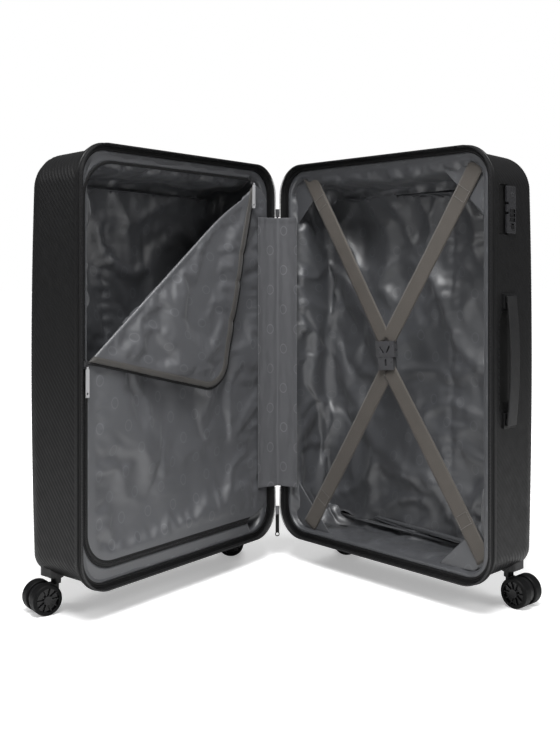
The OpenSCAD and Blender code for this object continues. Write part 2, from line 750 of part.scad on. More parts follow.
module back_lining() color(LINING_CLR) in_back()
    lining(back_lining_d, back_side, back_top, spine_side, foot_side);
module front_lining() color(LINING_CLR) in_front() difference() {
    lining(front_lining_d, front_side, front_side, spine_side + 6, foot_side);
    plate(lining_v - 1, lining_v + cloth_t + 2 * soft_gap) rim_outline(seam_in - 1);
}

// ---------------------------------------------------------------- cross straps

corner_tl = [rim_u0 + 54, rim_h - 10]; // strap ends (u, height above the rim's foot)
corner_tr = [rim_u1 - 30, rim_h - 14];
corner_bl = [rim_u0 + 58, 20];
corner_br = [rim_u1 - 24, 38];
buckle_c = [rim_uc + 12, rim_h / 2 + 4];
buckle_tilt = 5;
buckle_w = 42;
buckle_l = 50;
buckle_t = 10;
strap_gap = 0.4;                       // between the two lower straps

module strap_2d(a, b) {
    dir = atan2(b[1] - a[1], b[0] - a[0]);
    length = norm([b[0] - a[0], b[1] - a[1]]);
    translate([a[0], rim_z + a[1]]) rotate(dir) translate([0, -strap_w / 2])
        square([length, strap_w]);
}

module inside_lining(gap) round_rect(rim_u0 + spine_side + cloth_t + gap,
    rim_u1 - back_side - cloth_t - gap, rim_z + foot_side + cloth_t + gap,
    rim_top - back_top - cloth_t - gap, lining_r - cloth_t - gap);

// Ends of the buckle, along its tilted axis
function buckle_end(s) = [buckle_c[0] + s * (buckle_l / 2 - 5) * sin(-buckle_tilt),
    buckle_c[1] + s * (buckle_l / 2 - 5) * cos(buckle_tilt)];

module on_buckle() translate([buckle_c[0], strap_v + strap_t / 2, rim_z + buckle_c[1]])
    rotate([0, -buckle_tilt, 0]) children();

module webbing(corners, s, v) difference() {
    plate(v, v + strap_t) for (corner = corners) intersection() {
        strap_2d(corner, buckle_end(s));
        inside_lining(soft_gap);
    }
    on_buckle() bar(-buckle_w / 2 - 12, buckle_w / 2 + 12, -buckle_t, buckle_t,
        -buckle_l / 2 - soft_gap, buckle_l / 2 + soft_gap);
}

lower_back_v = strap_v + strap_t + strap_gap;
gusset_v = lower_back_v + strap_t + soft_gap;

module strap_upper() color(STRAP_CLR) in_back() webbing([corner_tl, corner_tr], 1, strap_v);
module strap_lower_front() color(STRAP_CLR) in_back() webbing([corner_br], -1, strap_v);
module strap_lower_back() color(STRAP_CLR) in_back() webbing([corner_bl], -1, lower_back_v);

// Triangular cloth corners that anchor the straps
module gusset_2d(u, z, su, sz) intersection() {
    inside_lining(soft_gap);
    polygon([[u, z], [u + su * 112, z], [u, z + sz * 112]]);
}

module strap_gussets() color(LINING_CLR) in_back() plate(gusset_v, gusset_v + cloth_t) {
    gusset_2d(rim_u0, rim_top, 1, -1);
    gusset_2d(rim_u1, rim_z, -1, 1);
    gusset_2d(rim_u1, rim_top, -1, -1);
    gusset_2d(rim_u0, rim_z, 1, 1);
}

plug_l = 22;

// Female half: a hollow box with a Y of slots in its face
module buckle_socket() color(STRAP_CLR) in_back() on_buckle() difference() {
    bar(-buckle_w / 2, buckle_w / 2, -buckle_t / 2, buckle_t / 2, -buckle_l / 2 + plug_l, buckle_l / 2);
    bar(-buckle_w / 2 + 3, buckle_w / 2 - 3, -buckle_t / 2 + 2, buckle_t / 2 - 2,
        -buckle_l / 2 + plug_l - 1, buckle_l / 2 - 8);
    for (s = [-1, 1]) translate([s * 7, 0, -buckle_l / 2 + plug_l + 13]) rotate([0, s * 35, 0])
        bar(-1.5, 1.5, -buckle_t, 0, -7, 7);
}

// Male half: a shoulder with a strap bar and a tongue inside the socket
module buckle_plug() color(STRAP_CLR) in_back() on_buckle() difference() {
    union() {
        bar(-buckle_w / 2 + 4, buckle_w / 2 - 4, -buckle_t / 2, buckle_t / 2,
            -buckle_l / 2, -buckle_l / 2 + plug_l - 0.3);
        for (x = [-12, 0, 12]) bar(x - 3, x + 3, -buckle_t / 2 + 2.3, buckle_t / 2 - 2.3,
            -buckle_l / 2 + plug_l - 2, buckle_l / 2 - 12);
    }
    bar(-2, 2, -buckle_t, 0, -buckle_l / 2 + 7, -buckle_l / 2 + plug_l - 3);
}

// ---------------------------------------------------------------- fabric divider

divider_v = front_v + soft_gap;
zip_u1 = rim_w + rim_u0 - zip_side;
zip_z1 = rim_top - zip_top;
zip_z0 = rim_z + zip_foot;
zip_r = 57;
zip_end = 54;                          // where the zipper ends near the spine
panel_u0 = rim_u0 + seam_in;
flap_v = divider_v - 3.2;              // front face of the folded corner

module zip_outline(grow) round_rect(panel_u0, zip_u1 + grow, zip_z0 - grow, zip_z1 + grow,
    zip_r + grow);

module past_zip_end() translate([rim_u0 + zip_end, 0]) square([rim_w, rim_top + 50]);

module divider_margin() color(LINING_CLR) in_front() plate(divider_v, divider_v + cloth_t)
    difference() {
        rim_outline(seam_in);
        zip_outline(zip_w / 2 + soft_gap);
    }

module divider_zipper() color(TRIM_CLR) in_front()
    plate(divider_v - 0.6, divider_v + cloth_t + 0.6) intersection() {
        difference() {
            zip_outline(zip_w / 2);
            zip_outline(-zip_w / 2);
        }
        past_zip_end();
    }

module panel_2d() {
    zip_outline(-zip_w / 2 - soft_gap);
    difference() {
        zip_outline(zip_w / 2);
        translate([rim_u0 + zip_end - soft_gap, 0]) square([rim_w, rim_top + 50]);
    }
}

// Fold line of the open corner, from the side edge up to the top edge
fold_a = [zip_u1, rim_z + fold_low];
fold_b = [rim_u0 + zip_end + 8, zip_z1 - zip_w / 2 - soft_gap];
fold_dir = atan2(fold_b[1] - fold_a[1], fold_b[0] - fold_a[0]);
fold_len = norm([fold_b[0] - fold_a[0], fold_b[1] - fold_a[1]]);
side_cut = (zip_w / 2 + soft_gap) / abs(cos(fold_dir));   // fold line outside the panel

// Half plane on the folded side of the fold line
module above_fold() intersection() {
    translate(fold_a) rotate(fold_dir) translate([-200, -900]) square([1200, 900]);
    past_zip_end();
}

module fold_mirror() translate(fold_a) mirror([-sin(fold_dir), cos(fold_dir)])
    translate(-fold_a) children();

module divider_panel() color(LINING_CLR) in_front() {
    plate(divider_v, divider_v + cloth_t) difference() {
        panel_2d();
        above_fold();
    }
    plate(flap_v, flap_v + cloth_t) fold_mirror() intersection() {
        panel_2d();
        above_fold();
    }
    // the bend that joins panel and flap
    plate(flap_v, divider_v + cloth_t) translate(fold_a) rotate(fold_dir)
        translate([side_cut + 2, -cloth_t / 2]) square([fold_len - side_cut - 16, 1.5 * cloth_t]);
}

slider_l = 12;
slider_w = 9;
pull_l = 46;
pull_w = 7;
pull_t = 1.4;
slider_v = divider_v - 0.6 - soft_gap; // rear face of a divider slider
side_slider = [zip_u1, rim_z + fold_low + 4];
top_slider = [rim_u0 + zip_end + 4, zip_z1];

module divider_sliders() color(METAL_CLR) in_front()
    for (p = [side_slider, top_slider]) {
        plate(slider_v - 2.5, slider_v) translate([p[0] - slider_w / 2, p[1] - slider_l / 2])
            square([slider_w, slider_l]);
        for (s = [-1, 1]) bar(p[0] + s * 3 - 0.8, p[0] + s * 3 + 0.8, slider_v - 6.5,
            slider_v - 2.4, p[1] - 5.5, p[1] - 2.5);
    }

// Pull tab that hangs from a cross bar at the slider's ears
module pull_tab(len) difference() {
    union() {
        bar(-pull_w / 2, pull_w / 2, -pull_t / 2, pull_t / 2, -len, -3);
        bar(-2, 2, -pull_t / 2, pull_t / 2, -4, 0);
        rotate([0, 90, 0]) cylinder(r = 0.9, h = 4.2, center = true, $fn = 24);
    }
    translate([0, 0, -len + 6]) rotate([90, 0, 0]) cylinder(r = 2, h = 10, center = true);
}

divider_pull_v = slider_v - 5.5;

module divider_pull(p) color(METAL_CLR) in_front()
    translate([p[0], divider_pull_v, p[1] - 4]) pull_tab(pull_l);

module divider_pull_side() divider_pull(side_slider);
module divider_pull_top() divider_pull(top_slider);

// ---------------------------------------------------------------- spine and main zip ends

cover_gap = 0.5;                       // each half stays this far off the spine line

// Cloth strip over the spine, in two halves that crease at the spine line
module cover_half(reach) translate([0, 0, rim_z + spine_low]) linear_extrude(spine_high - spine_low)
    polygon([[cover_gap, 0.4], [reach * 0.45, 3.4], [reach, divider_v - soft_gap - cloth_t],
        [reach, divider_v - soft_gap], [reach * 0.45 - 1, 3.4 + cloth_t],
        [cover_gap, 0.4 + cloth_t]]);

module spine_cover_back() color(LINING_CLR) in_back() cover_half(spine_reach_back);
module spine_cover_front() color(LINING_CLR) in_front() cover_half(spine_reach_front);

main_low = 37;                         // lower ends of the parked sliders, above the rim's foot
main_high = spine_high + 2;
main_slider_l = 15;
main_in = 2.5;                         // reach of a slider between the two tapes
ring_r = 4.4;
ring_t = 1.8;
main_pull_x = 7.6;
main_pull_l = 38;

// Frame of the zip's ends: x points out of the spine, midway between the two shells
module in_spine() translate([spine_x, spine_y, 0]) rotate([0, 0, 180 - open_angle / 2]) children();

module main_sliders() color(METAL_CLR) in_spine() for (z = [main_low, main_high]) {
    bar(-main_in, 5, -3.5, 3.5, rim_z + z, rim_z + z + main_slider_l);
    for (s = [-1, 1]) bar(4.9, 9, s * 2.6 - 0.6, s * 2.6 + 0.6, rim_z + z, rim_z + z + 3);
}

// Rubber pull with a metal ring at its end, hanging from the slider's ears
module main_pull(z) color(TRIM_CLR) in_spine()
    translate([main_pull_x, 0, rim_z + z + 1.5]) rotate([0, 0, 90]) difference() {
        union() {
            bar(-pull_w / 2, pull_w / 2, -0.9, 0.9, -main_pull_l, -3);
            bar(-1.7, 1.7, -0.9, 0.9, -4, 0);
            rotate([0, 90, 0]) cylinder(r = 0.9, h = 3.8, center = true, $fn = 24);
            translate([0, 0, -main_pull_l - ring_r + 1]) rotate([90, 0, 0])
                cylinder(r = ring_r, h = ring_t, center = true);
        }
        translate([0, 0, -main_pull_l - ring_r + 1]) rotate([90, 0, 0])
            cylinder(r = ring_r - 1.6, h = 10, center = true);
    }

module main_pull_lower() main_pull(main_low);
module main_pull_upper() main_pull(main_high);

// ---------------------------------------------------------------- nodes

module axle_back_outer() back_outer() axle();
module fork_back_outer() back_outer() fork();
module wheel_back_outer_a() back_outer() wheel(1);
module wheel_back_outer_b() back_outer() wheel(-1);
module axle_back_inner() back_inner() axle();
module fork_back_inner() back_inner() fork();
module wheel_back_inner_a() back_inner() wheel(1);
module wheel_back_inner_b() back_inner() wheel(-1);
module axle_front_outer() front_outer() axle();
module fork_front_outer() front_outer() fork();
module wheel_front_outer_a() front_outer() wheel(1);
module wheel_front_outer_b() front_outer() wheel(-1);
module axle_front_inner() front_inner() axle();
module fork_front_inner() front_inner() fork();
module wheel_front_inner_a() front_inner() wheel(1);
module wheel_front_inner_b() front_inner() wheel(-1);

back_shell();
back_trim();
back_zip_tape();
back_lining();
strap_upper();
strap_lower_front();
strap_lower_back();
strap_gussets();
buckle_socket();
buckle_plug();
side_grip();
top_grip();
handle_bases();
lock_case();
lock_dial_1();
lock_dial_2();
lock_dial_3();
lock_slide();
lock_key_barrel();
trolley_bezel();
outer_tubes();
tube_bracket();
middle_tubes();
inner_tubes();
trolley_grip();
trolley_button();
front_shell();
front_trim();
front_zip_tape();
front_lining();
divider_margin();
divider_panel();
divider_zipper();
divider_sliders();
divider_pull_side();
divider_pull_top();
spine_cover_back();
spine_cover_front();
main_sliders();
main_pull_lower();
main_pull_upper();
caster_housings_back();
caster_housings_front();
fork_back_outer();
axle_back_outer();
wheel_back_outer_a();
wheel_back_outer_b();
fork_back_inner();
axle_back_inner();
wheel_back_inner_a();
wheel_back_inner_b();
fork_front_outer();
axle_front_outer();
wheel_front_outer_a();
wheel_front_outer_b();
fork_front_inner();
axle_front_inner();
wheel_front_inner_a();
wheel_front_inner_b();
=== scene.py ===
"""Hard shell suitcase standing open on its casters: shells, linings, divider, straps, fittings."""
import bpy
import bmesh
import math
import numpy as np
from mathutils import Matrix, Vector, noise


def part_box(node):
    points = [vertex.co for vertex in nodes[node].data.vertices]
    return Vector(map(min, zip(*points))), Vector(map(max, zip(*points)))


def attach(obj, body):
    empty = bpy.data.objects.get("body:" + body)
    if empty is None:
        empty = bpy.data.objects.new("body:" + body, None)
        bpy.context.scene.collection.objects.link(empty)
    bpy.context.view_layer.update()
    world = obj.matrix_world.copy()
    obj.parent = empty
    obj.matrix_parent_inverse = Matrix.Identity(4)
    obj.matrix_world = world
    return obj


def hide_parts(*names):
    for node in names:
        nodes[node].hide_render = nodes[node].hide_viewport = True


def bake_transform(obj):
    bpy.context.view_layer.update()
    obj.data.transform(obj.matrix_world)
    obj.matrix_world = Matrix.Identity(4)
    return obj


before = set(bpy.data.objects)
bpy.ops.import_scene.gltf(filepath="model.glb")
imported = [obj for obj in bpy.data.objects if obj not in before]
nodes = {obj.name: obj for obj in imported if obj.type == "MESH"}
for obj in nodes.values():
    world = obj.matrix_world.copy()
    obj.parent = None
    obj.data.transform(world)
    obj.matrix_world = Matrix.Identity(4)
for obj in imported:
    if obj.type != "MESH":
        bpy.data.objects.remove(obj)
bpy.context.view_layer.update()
MM = 0.001

# ---------------------------------------------------------------- camera

camera = bpy.data.objects.new("camera", bpy.data.cameras.new("camera"))
bpy.context.scene.collection.objects.link(camera)
camera.data.lens = 47
camera.data.shift_y = -0.13
right, ahead = Vector((0.6775, 0.7355, 0)), Vector((-0.7355, 0.6775, 0))
camera.matrix_world = Matrix.Translation((1.1986, -1.0832, 0.5374)) @ Matrix(
    (right, (0, 0, 1), -ahead)).transposed().to_4x4()
bpy.context.scene.camera = camera
bpy.context.scene.view_settings.view_transform = "Standard"

# ---------------------------------------------------------------- frames of the two halves
# Pieces are drawn in millimetres: u out from the spine, v deeper into a half, z up

rim_low, rim_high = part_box("back_trim")
SPINE = Vector((rim_low.x - 4 * MM, rim_low.y - 9 * MM, 0))
RIM_Z, RIM_TOP = rim_low.z / MM, rim_high.z / MM
U0, U1 = 4, 4 + (rim_high.x - rim_low.x) / MM
UC = (U0 + U1) / 2
BACK = Matrix.Translation(SPINE) @ Matrix.Scale(MM, 4)
FRONT = (Matrix.Translation(SPINE) @ Matrix.Rotation(math.radians(-80), 4, "Z")
         @ Matrix.Diagonal((1, -1, 1, 1)) @ Matrix.Scale(MM, 4))
SHELL_D, STEP_V = 150, 23
WALL_V, EDGE_R, SKIN = 110, 40, 3
CASTER_U, CASTER_V = (445, 45), 109
COVER_LOW, COVER_HIGH = 138, 648


def smoothstep(a, b, x):
    t = np.clip((np.asarray(x, float) - a) / (b - a), 0, 1)
    return t * t * (3 - 2 * t)


def wavy(points, size, seed, depth=2):
    """Smooth noise from -1 to 1 at each point; size is a wave's length in millimetres, per axis."""
    flat = points.reshape(-1, 3) / np.asarray(size, float) + seed * 7.31
    values = [noise.fractal(Vector(p), 0.6, 2.1, depth) for p in flat]
    return np.array(values).reshape(points.shape[:-1])


# ---------------------------------------------------------------- finishes


def finish(name, colour, roughness, metal=0.0, level=0.5, coat=0.0, sheen=0.0, coat_roughness=0.15):
    made = bpy.data.materials.new(name)
    made.use_nodes = True
    shader = made.node_tree.nodes["Principled BSDF"]
    shader.inputs["Base Color"].default_value = (*colour, 1)
    shader.inputs["Roughness"].default_value = roughness
    shader.inputs["Metallic"].default_value = metal
    shader.inputs["Specular IOR Level"].default_value = level
    shader.inputs["Coat Weight"].default_value = coat
    shader.inputs["Coat Roughness"].default_value = coat_roughness
    shader.inputs["Sheen Weight"].default_value = sheen
    shader.inputs["Sheen Roughness"].default_value = 0.4
    made.diffuse_color = (*colour, 1)
    return made


def place_on(made, source, scale=(1, 1, 1), turn=0.0):
    """Mapped coordinates of a finish: Object or UV, both in metres."""
    tree = made.node_tree
    key = f"{source} {tuple(scale)} {turn}"
    if key in tree.nodes:
        return tree.nodes[key].outputs[0]
    where = tree.nodes.new("ShaderNodeTexCoord")
    mapping = tree.nodes.new("ShaderNodeMapping")
    mapping.name = key
    mapping.inputs["Scale"].default_value = scale
    mapping.inputs["Rotation"].default_value[2] = turn
    tree.links.new(where.outputs[source], mapping.inputs["Vector"])
    return mapping.outputs[0]


def speckle(made, size, source="Object", stretch=(1, 1, 1), detail=2.0, turn=0.0):
    grain = made.node_tree.nodes.new("ShaderNodeTexNoise")
    grain.inputs["Scale"].default_value = 1 / (size * MM)
    grain.inputs["Detail"].default_value = detail
    made.node_tree.links.new(place_on(made, source, stretch, turn), grain.inputs["Vector"])
    return grain.outputs["Fac"]


def stripes(made, pitch, source="UV", turn=0.0, wander=0.0):
    """Bands from 0 to 1 across the direction given by turn, one each pitch millimetres."""
    bands = made.node_tree.nodes.new("ShaderNodeTexWave")
    bands.inputs["Scale"].default_value = math.pi / 10 / (pitch * MM)
    bands.inputs["Distortion"].default_value = wander
    bands.inputs["Detail Scale"].default_value = 4
    made.node_tree.links.new(place_on(made, source, (1, 1, 1), turn), bands.inputs["Vector"])
    return bands.outputs["Fac"]


def ramp(made, value, low, high, a=0.0, b=1.0):
    span = made.node_tree.nodes.new("ShaderNodeMapRange")
    for socket, number in zip(("From Min", "From Max", "To Min", "To Max"), (low, high, a, b)):
        span.inputs[socket].default_value = number
    made.node_tree.links.new(value, span.inputs["Value"])
    return span.outputs["Result"]


def combine(made, a, b, how="MULTIPLY"):
    sum_up = made.node_tree.nodes.new("ShaderNodeMath")
    sum_up.operation = how
    for socket, value in zip(sum_up.inputs, (a, b)):
        if isinstance(value, (int, float)):
            socket.default_value = value
        else:
            made.node_tree.links.new(value, socket)
    return sum_up.outputs[0]


def tint(made, value, dark, light):
    """Base colour runs from dark to light with value."""
    tree = made.node_tree
    shader = tree.nodes["Principled BSDF"]
    mix = tree.nodes.new("ShaderNodeMix")
    mix.data_type = "RGBA"
    mix.blend_type = "MULTIPLY"
    mix.inputs[0].default_value = 1
    socket = shader.inputs["Base Color"]
    if socket.links:
        tree.links.new(socket.links[0].from_socket, mix.inputs["A"])
    else:
        mix.inputs["A"].default_value = socket.default_value
    shades = tree.nodes.new("ShaderNodeValToRGB")
    shades.color_ramp.elements[0].color = (*([dark] * 3 if isinstance(dark, float) else dark), 1)
    shades.color_ramp.elements[1].color = (*([light] * 3 if isinstance(light, float) else light), 1)
    tree.links.new(value, shades.inputs["Fac"])
    tree.links.new(shades.outputs["Color"], mix.inputs["B"])
    tree.links.new(mix.outputs["Result"], socket)


def relief(made, value, height):
    """Bump of the given height in millimetres, added to what the finish has."""
    tree = made.node_tree
    socket = tree.nodes["Principled BSDF"].inputs["Normal"]
    bump = tree.nodes.new("ShaderNodeBump")
    bump.inputs["Distance"].default_value = height * MM
    if socket.links:
        tree.links.new(socket.links[0].from_socket, bump.inputs["Normal"])
    tree.links.new(value, bump.inputs["Height"])
    tree.links.new(bump.outputs["Normal"], socket)


def gloss(made, value, low, high):
    """Roughness runs from low to high with value."""
    made.node_tree.links.new(ramp(made, value, 0.3, 0.7, low, high),
                             made.node_tree.nodes["Principled BSDF"].inputs["Roughness"])


def moulded(name, colour, roughness, grain=0.6, height=0.04, **more):
    """Moulded plastic: fine spark texture, faint clouding, uneven gloss."""
    made = finish(name, colour, roughness, **more)
    tint(made, speckle(made, 60, detail=3), 0.86, 1.12)
    gloss(made, speckle(made, 14, detail=4), roughness - 0.06, roughness + 0.08)
    relief(made, speckle(made, grain, detail=1), height)
    return made


def woven(name, colour, roughness, pitch, height, sheen=0.2, level=0.35, cloud=45):
    """Plain weave on the cloth's own flat coordinates, with uneven tone."""
    made = finish(name, colour, roughness, sheen=sheen, level=level)
    over = combine(made, stripes(made, pitch), stripes(made, pitch, turn=math.pi / 2))
    relief(made, over, height)
    tint(made, speckle(made, cloud, "UV", detail=4), 0.88, 1.1)
    tint(made, over, 0.9, 1.06)
    return made


SHELL = moulded("shell_charcoal", (0.007, 0.007, 0.0073), 0.42, 0.8, 0.03, level=0.24)
# painted shade: a darker, duller copy of the shell plastic for the shaded insides of the finger
# scoops and the lock's pull recess
SHADE = moulded("recess_painted_shade", (0.004, 0.004, 0.004), 0.6, 0.8, 0.03, level=0.2)
TRIM = moulded("rim_rubber", (0.0045, 0.0045, 0.0048), 0.46, 0.5, 0.03, level=0.2)
HARD = moulded("black_nylon", (0.006, 0.006, 0.0065), 0.4, 0.5, 0.03, level=0.3)
GRIP = moulded("grip_rubber", (0.0125, 0.0125, 0.013), 0.46, 0.7, 0.05, level=0.3)
LOCK = finish("lock_gloss", (0.02, 0.02, 0.022), 0.2, coat=0.5, coat_roughness=0.08)
tint(LOCK, speckle(LOCK, 20), 0.85, 1.1)
relief(LOCK, speckle(LOCK, 3), 0.01)
TREAD = moulded("wheel_tread", (0.0045, 0.0045, 0.0048), 0.52, 0.7, 0.05, level=0.12)
DISH = moulded("wheel_dish", (0.0035, 0.0035, 0.004), 0.24, 0.7, 0.02, level=0.3, coat=0.15)
BUCKLE = moulded("buckle_grey", (0.05, 0.05, 0.053), 0.3, 0.5, 0.03)
PULL = moulded("pull_silver", (0.4, 0.4, 0.41), 0.34, 0.5, 0.02, metal=0.15)
ZINC = moulded("zinc_slider", (0.12, 0.12, 0.125), 0.3, 0.5, 0.02, metal=0.8)
STEEL = finish("steel_axle", (0.5, 0.5, 0.51), 0.3, metal=1.0)
tint(STEEL, speckle(STEEL, 5, stretch=(1, 1, 0.1)), 0.85, 1.1)
TUBE = finish("tube_anodised", (0.32, 0.32, 0.33), 0.32, metal=0.9)
tint(TUBE, speckle(TUBE, 1.5, stretch=(1, 1, 0.02)), 0.9, 1.08)
relief(TUBE, speckle(TUBE, 0.8, stretch=(1, 1, 0.02)), 0.01)

LINING = woven("lining_satin", (0.046, 0.048, 0.053), 0.44, 0.9, 0.04, sheen=0.1, level=0.95)
DIVIDER = woven("divider_satin", (0.066, 0.068, 0.074), 0.45, 0.9, 0.04, sheen=0.1, level=0.9)
COVER = woven("spine_cloth", (0.085, 0.086, 0.092), 0.5, 0.9, 0.06, sheen=0.15)
TAPE = woven("zip_tape", (0.005, 0.005, 0.0054), 0.6, 1.1, 0.12, sheen=0.03, level=0.25)
BAND = woven("seam_band", (0.05, 0.047, 0.044), 0.6, 1.3, 0.12, sheen=0.15)
COIL = finish("zip_coil", (0.012, 0.012, 0.013), 0.35)
tint(COIL, speckle(COIL, 6), 0.8, 1.2)

for cloth in (LINING, DIVIDER, COVER):
    # small lozenges in a half-drop layout, a shade lighter than the ground
    across = stripes(cloth, 46, turn=math.radians(38))
    along = stripes(cloth, 46, turn=math.radians(-38))
    lozenge = ramp(cloth, combine(cloth, across, along), 0.7, 0.74)
    core = ramp(cloth, combine(cloth, across, along), 0.8, 0.84)
    tint(cloth, combine(cloth, lozenge, core, "SUBTRACT"), 1.0, 1.5)

WEBBING = finish("strap_webbing", (0.09, 0.081, 0.072), 0.6, sheen=0.12, level=0.2)
ribs = stripes(WEBBING, 1.6, turn=math.pi / 2)
chevron = stripes(WEBBING, 1.1, turn=math.radians(35))
relief(WEBBING, combine(WEBBING, ribs, chevron), 0.25)
tint(WEBBING, combine(WEBBING, ribs, chevron), 0.78, 1.12)
tint(WEBBING, speckle(WEBBING, 30, "UV", detail=4), 0.9, 1.08)

# ---------------------------------------------------------------- making pieces


def piece(name, bm, half, made, body, stands_for=(), edge=35):
    """Puts a bmesh drawn in a half's frame into the scene as a piece that rides on a body."""
    if half is not None:
        bm.transform(half)
        if half is FRONT:
            bmesh.ops.reverse_faces(bm, faces=bm.faces)
    for face in bm.faces:
        face.smooth = True
    for side in bm.edges:
        if len(side.link_faces) == 2 and side.calc_face_angle(0) > math.radians(edge):
            side.smooth = False
    mesh = bpy.data.meshes.new(name)
    bm.to_mesh(mesh)
    bm.free()
    mesh.materials.append(made)
    obj = bpy.data.objects.new(name, mesh)
    bpy.context.scene.collection.objects.link(obj)
    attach(obj, body)
    if stands_for:
        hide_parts(*stands_for)
    return obj


def thicken(obj, amount):
    """Cloth thickness in millimetres."""
    solid = obj.modifiers.new("cloth thickness", "SOLIDIFY")
    solid.thickness = amount * MM
    solid.offset = 0


def net(points, closed=False, flat=None):
    """A grid laid on points[row, column]; flat gives its unrolled coordinates in millimetres."""
    points = np.asarray(points, float)
    if flat is None:
        run_c = np.linalg.norm(np.diff(points, axis=1), axis=2)
        run_r = np.linalg.norm(np.diff(points, axis=0), axis=2)
        flat = np.zeros(points.shape[:2] + (2,))
        flat[:, 1:, 0] = np.cumsum(run_c, axis=1).mean(0)
        flat[1:, :, 1] = np.cumsum(run_r, axis=0).mean(1)[:, None]
        if closed:
            step = np.linalg.norm(points[:, 0] - points[:, -1], axis=1).mean()
            last = flat[:, -1:] + (step, 0)
            flat = np.concatenate([flat, last], 1)
    if closed:
        points = np.concatenate([points, points[:, :1]], 1)
    rows, columns = points.shape[:2]
    bm = bmesh.new()
    bmesh.ops.create_grid(bm, x_segments=columns - 1, y_segments=rows - 1, size=1)
    bm.verts.ensure_lookup_table()
    for vert, place in zip(bm.verts, points.reshape(-1, 3)):
        vert.co = place
    layer = bm.loops.layers.uv.new("flat")
    where = flat.reshape(-1, 2) * MM
    for face in bm.faces:
        for loop in face.loops:
            loop[layer].uv = where[loop.vert.index]
    if closed:
        seam = [bm.verts[r * columns + c] for r in range(rows) for c in (0, columns - 1)]
        bmesh.ops.remove_doubles(bm, verts=seam, dist=1e-5)
    return bm


def rim_columns(across, upright, corner):
    """Steps round a rounded rectangle, from the spine end of its foot.
    Each has its share along both ways, and the normal."""
    shares = []
    straight = lambda n: np.arange(n) / n
    for k, count in enumerate((across, corner, upright, corner) * 2):
        t = straight(count)
        side = k // 2
        if k % 2 == 0:
            a = (t, 1 + 0 * t, 1 - t, 0 * t)[side]
            b = (0 * t, t, 1 + 0 * t, 1 - t)[side]
            angle = np.full(count, (side - 1) * math.pi / 2)
        else:
            a = np.full(count, (1, 1, 0, 0)[side])
            b = np.full(count, (0, 1, 1, 0)[side])
            angle = (side - 1 + t) * math.pi / 2
        shares.append(np.stack([a, b, np.cos(angle), np.sin(angle)]))
    return np.concatenate(shares, 1)


def ring(columns, u0, u1, z0, z1, r, foot_r=None):
    """Points of a rounded rectangle; its two foot corners may have their own radius."""
    a, b, nu, nz = columns
    foot_r = r if foot_r is None else foot_r
    own = np.where(b == 0, foot_r, r)
    return (u0 + own + (u1 - u0 - 2 * own) * a + own * nu,
            z0 + foot_r + (z1 - r - z0 - foot_r) * b + own * nz)


def bulge(z, v):
    share = np.clip((v - STEP_V) / (SHELL_D - STEP_V), 0, 1)
    return 12 * (1 - (2 * (z - RIM_Z) / (RIM_TOP - RIM_Z) - 1) ** 2) * share


def outward(points):
    """Unit normals of a closed ring grid, out of the case."""
    along = np.roll(points, -1, 1) - np.roll(points, 1, 1)
    normal = np.cross(np.gradient(points, axis=0), along)
    return normal / np.maximum(np.linalg.norm(normal, axis=2, keepdims=True), 1e-9)


def add_mesh(bm, part):
    """Moves all of part into bm."""
    carrier = bpy.data.meshes.new("part")
    part.to_mesh(carrier)
    part.free()
    bm.from_mesh(carrier)
    bpy.data.meshes.remove(carrier)


def merge(*parts):
    whole = bmesh.new()
    for part in parts:
        add_mesh(whole, part)
    return whole


def slice_at(bm, place, facing, trim=False):
    """Cuts all of bm with a plane; trim takes away what lies beyond it."""
    bmesh.ops.bisect_plane(bm, geom=bm.verts[:] + bm.edges[:] + bm.faces[:],
                           plane_co=place, plane_no=facing, clear_outer=trim)


def trim_round(bm, u0, u1, z0, z1, r):
    """Trims an upright sheet to a rounded rectangle."""
    for angle in range(0, 360, 15):
        facing = Vector((math.cos(math.radians(angle)), 0, math.sin(math.radians(angle))))
        cu = u0 + r if facing.x < -1e-6 else u1 - r
        cz = z0 + r if facing.z < -1e-6 else z1 - r
        slice_at(bm, Vector((cu, 0, cz)) + facing * r, facing, trim=True)


# ---------------------------------------------------------------- moulded shells

RIB = 0.6


def section(v, grow=0.0):
    """Insets of the moulding at depth v (side, foot, top) and its corner radii (top, foot)."""
    if v <= 19:
        return 2.5 - grow, 2.5 - grow, 2.5 - grow, 54.5 + grow, 54.5 + grow
    if v <= STEP_V:
        s = float(smoothstep(19, STEP_V, v))
        return (2.5 + 5.5 * s - grow, 2.5 + 10.5 * s - grow, 2.5 + 5.5 * s - grow,
                54.5 - 2.5 * s + grow, 54.5 - 18.5 * s + grow)
    r = EDGE_R + grow
    reach = max(0.0, v - WALL_V)
    back = r - math.sqrt(max(0.0, r * r - reach * reach))
    under = max(0.0, v - (SHELL_D - 16))
    foot = 16 + grow - math.sqrt(max(0.0, (16 + grow) ** 2 - under * under))
    side = 8 + 5 * (v - STEP_V) / (SHELL_D - STEP_V) - grow + back
    return side, 13 - grow + foot, side, 52 + grow - 0.7 * back, 36 + grow - 0.5 * back


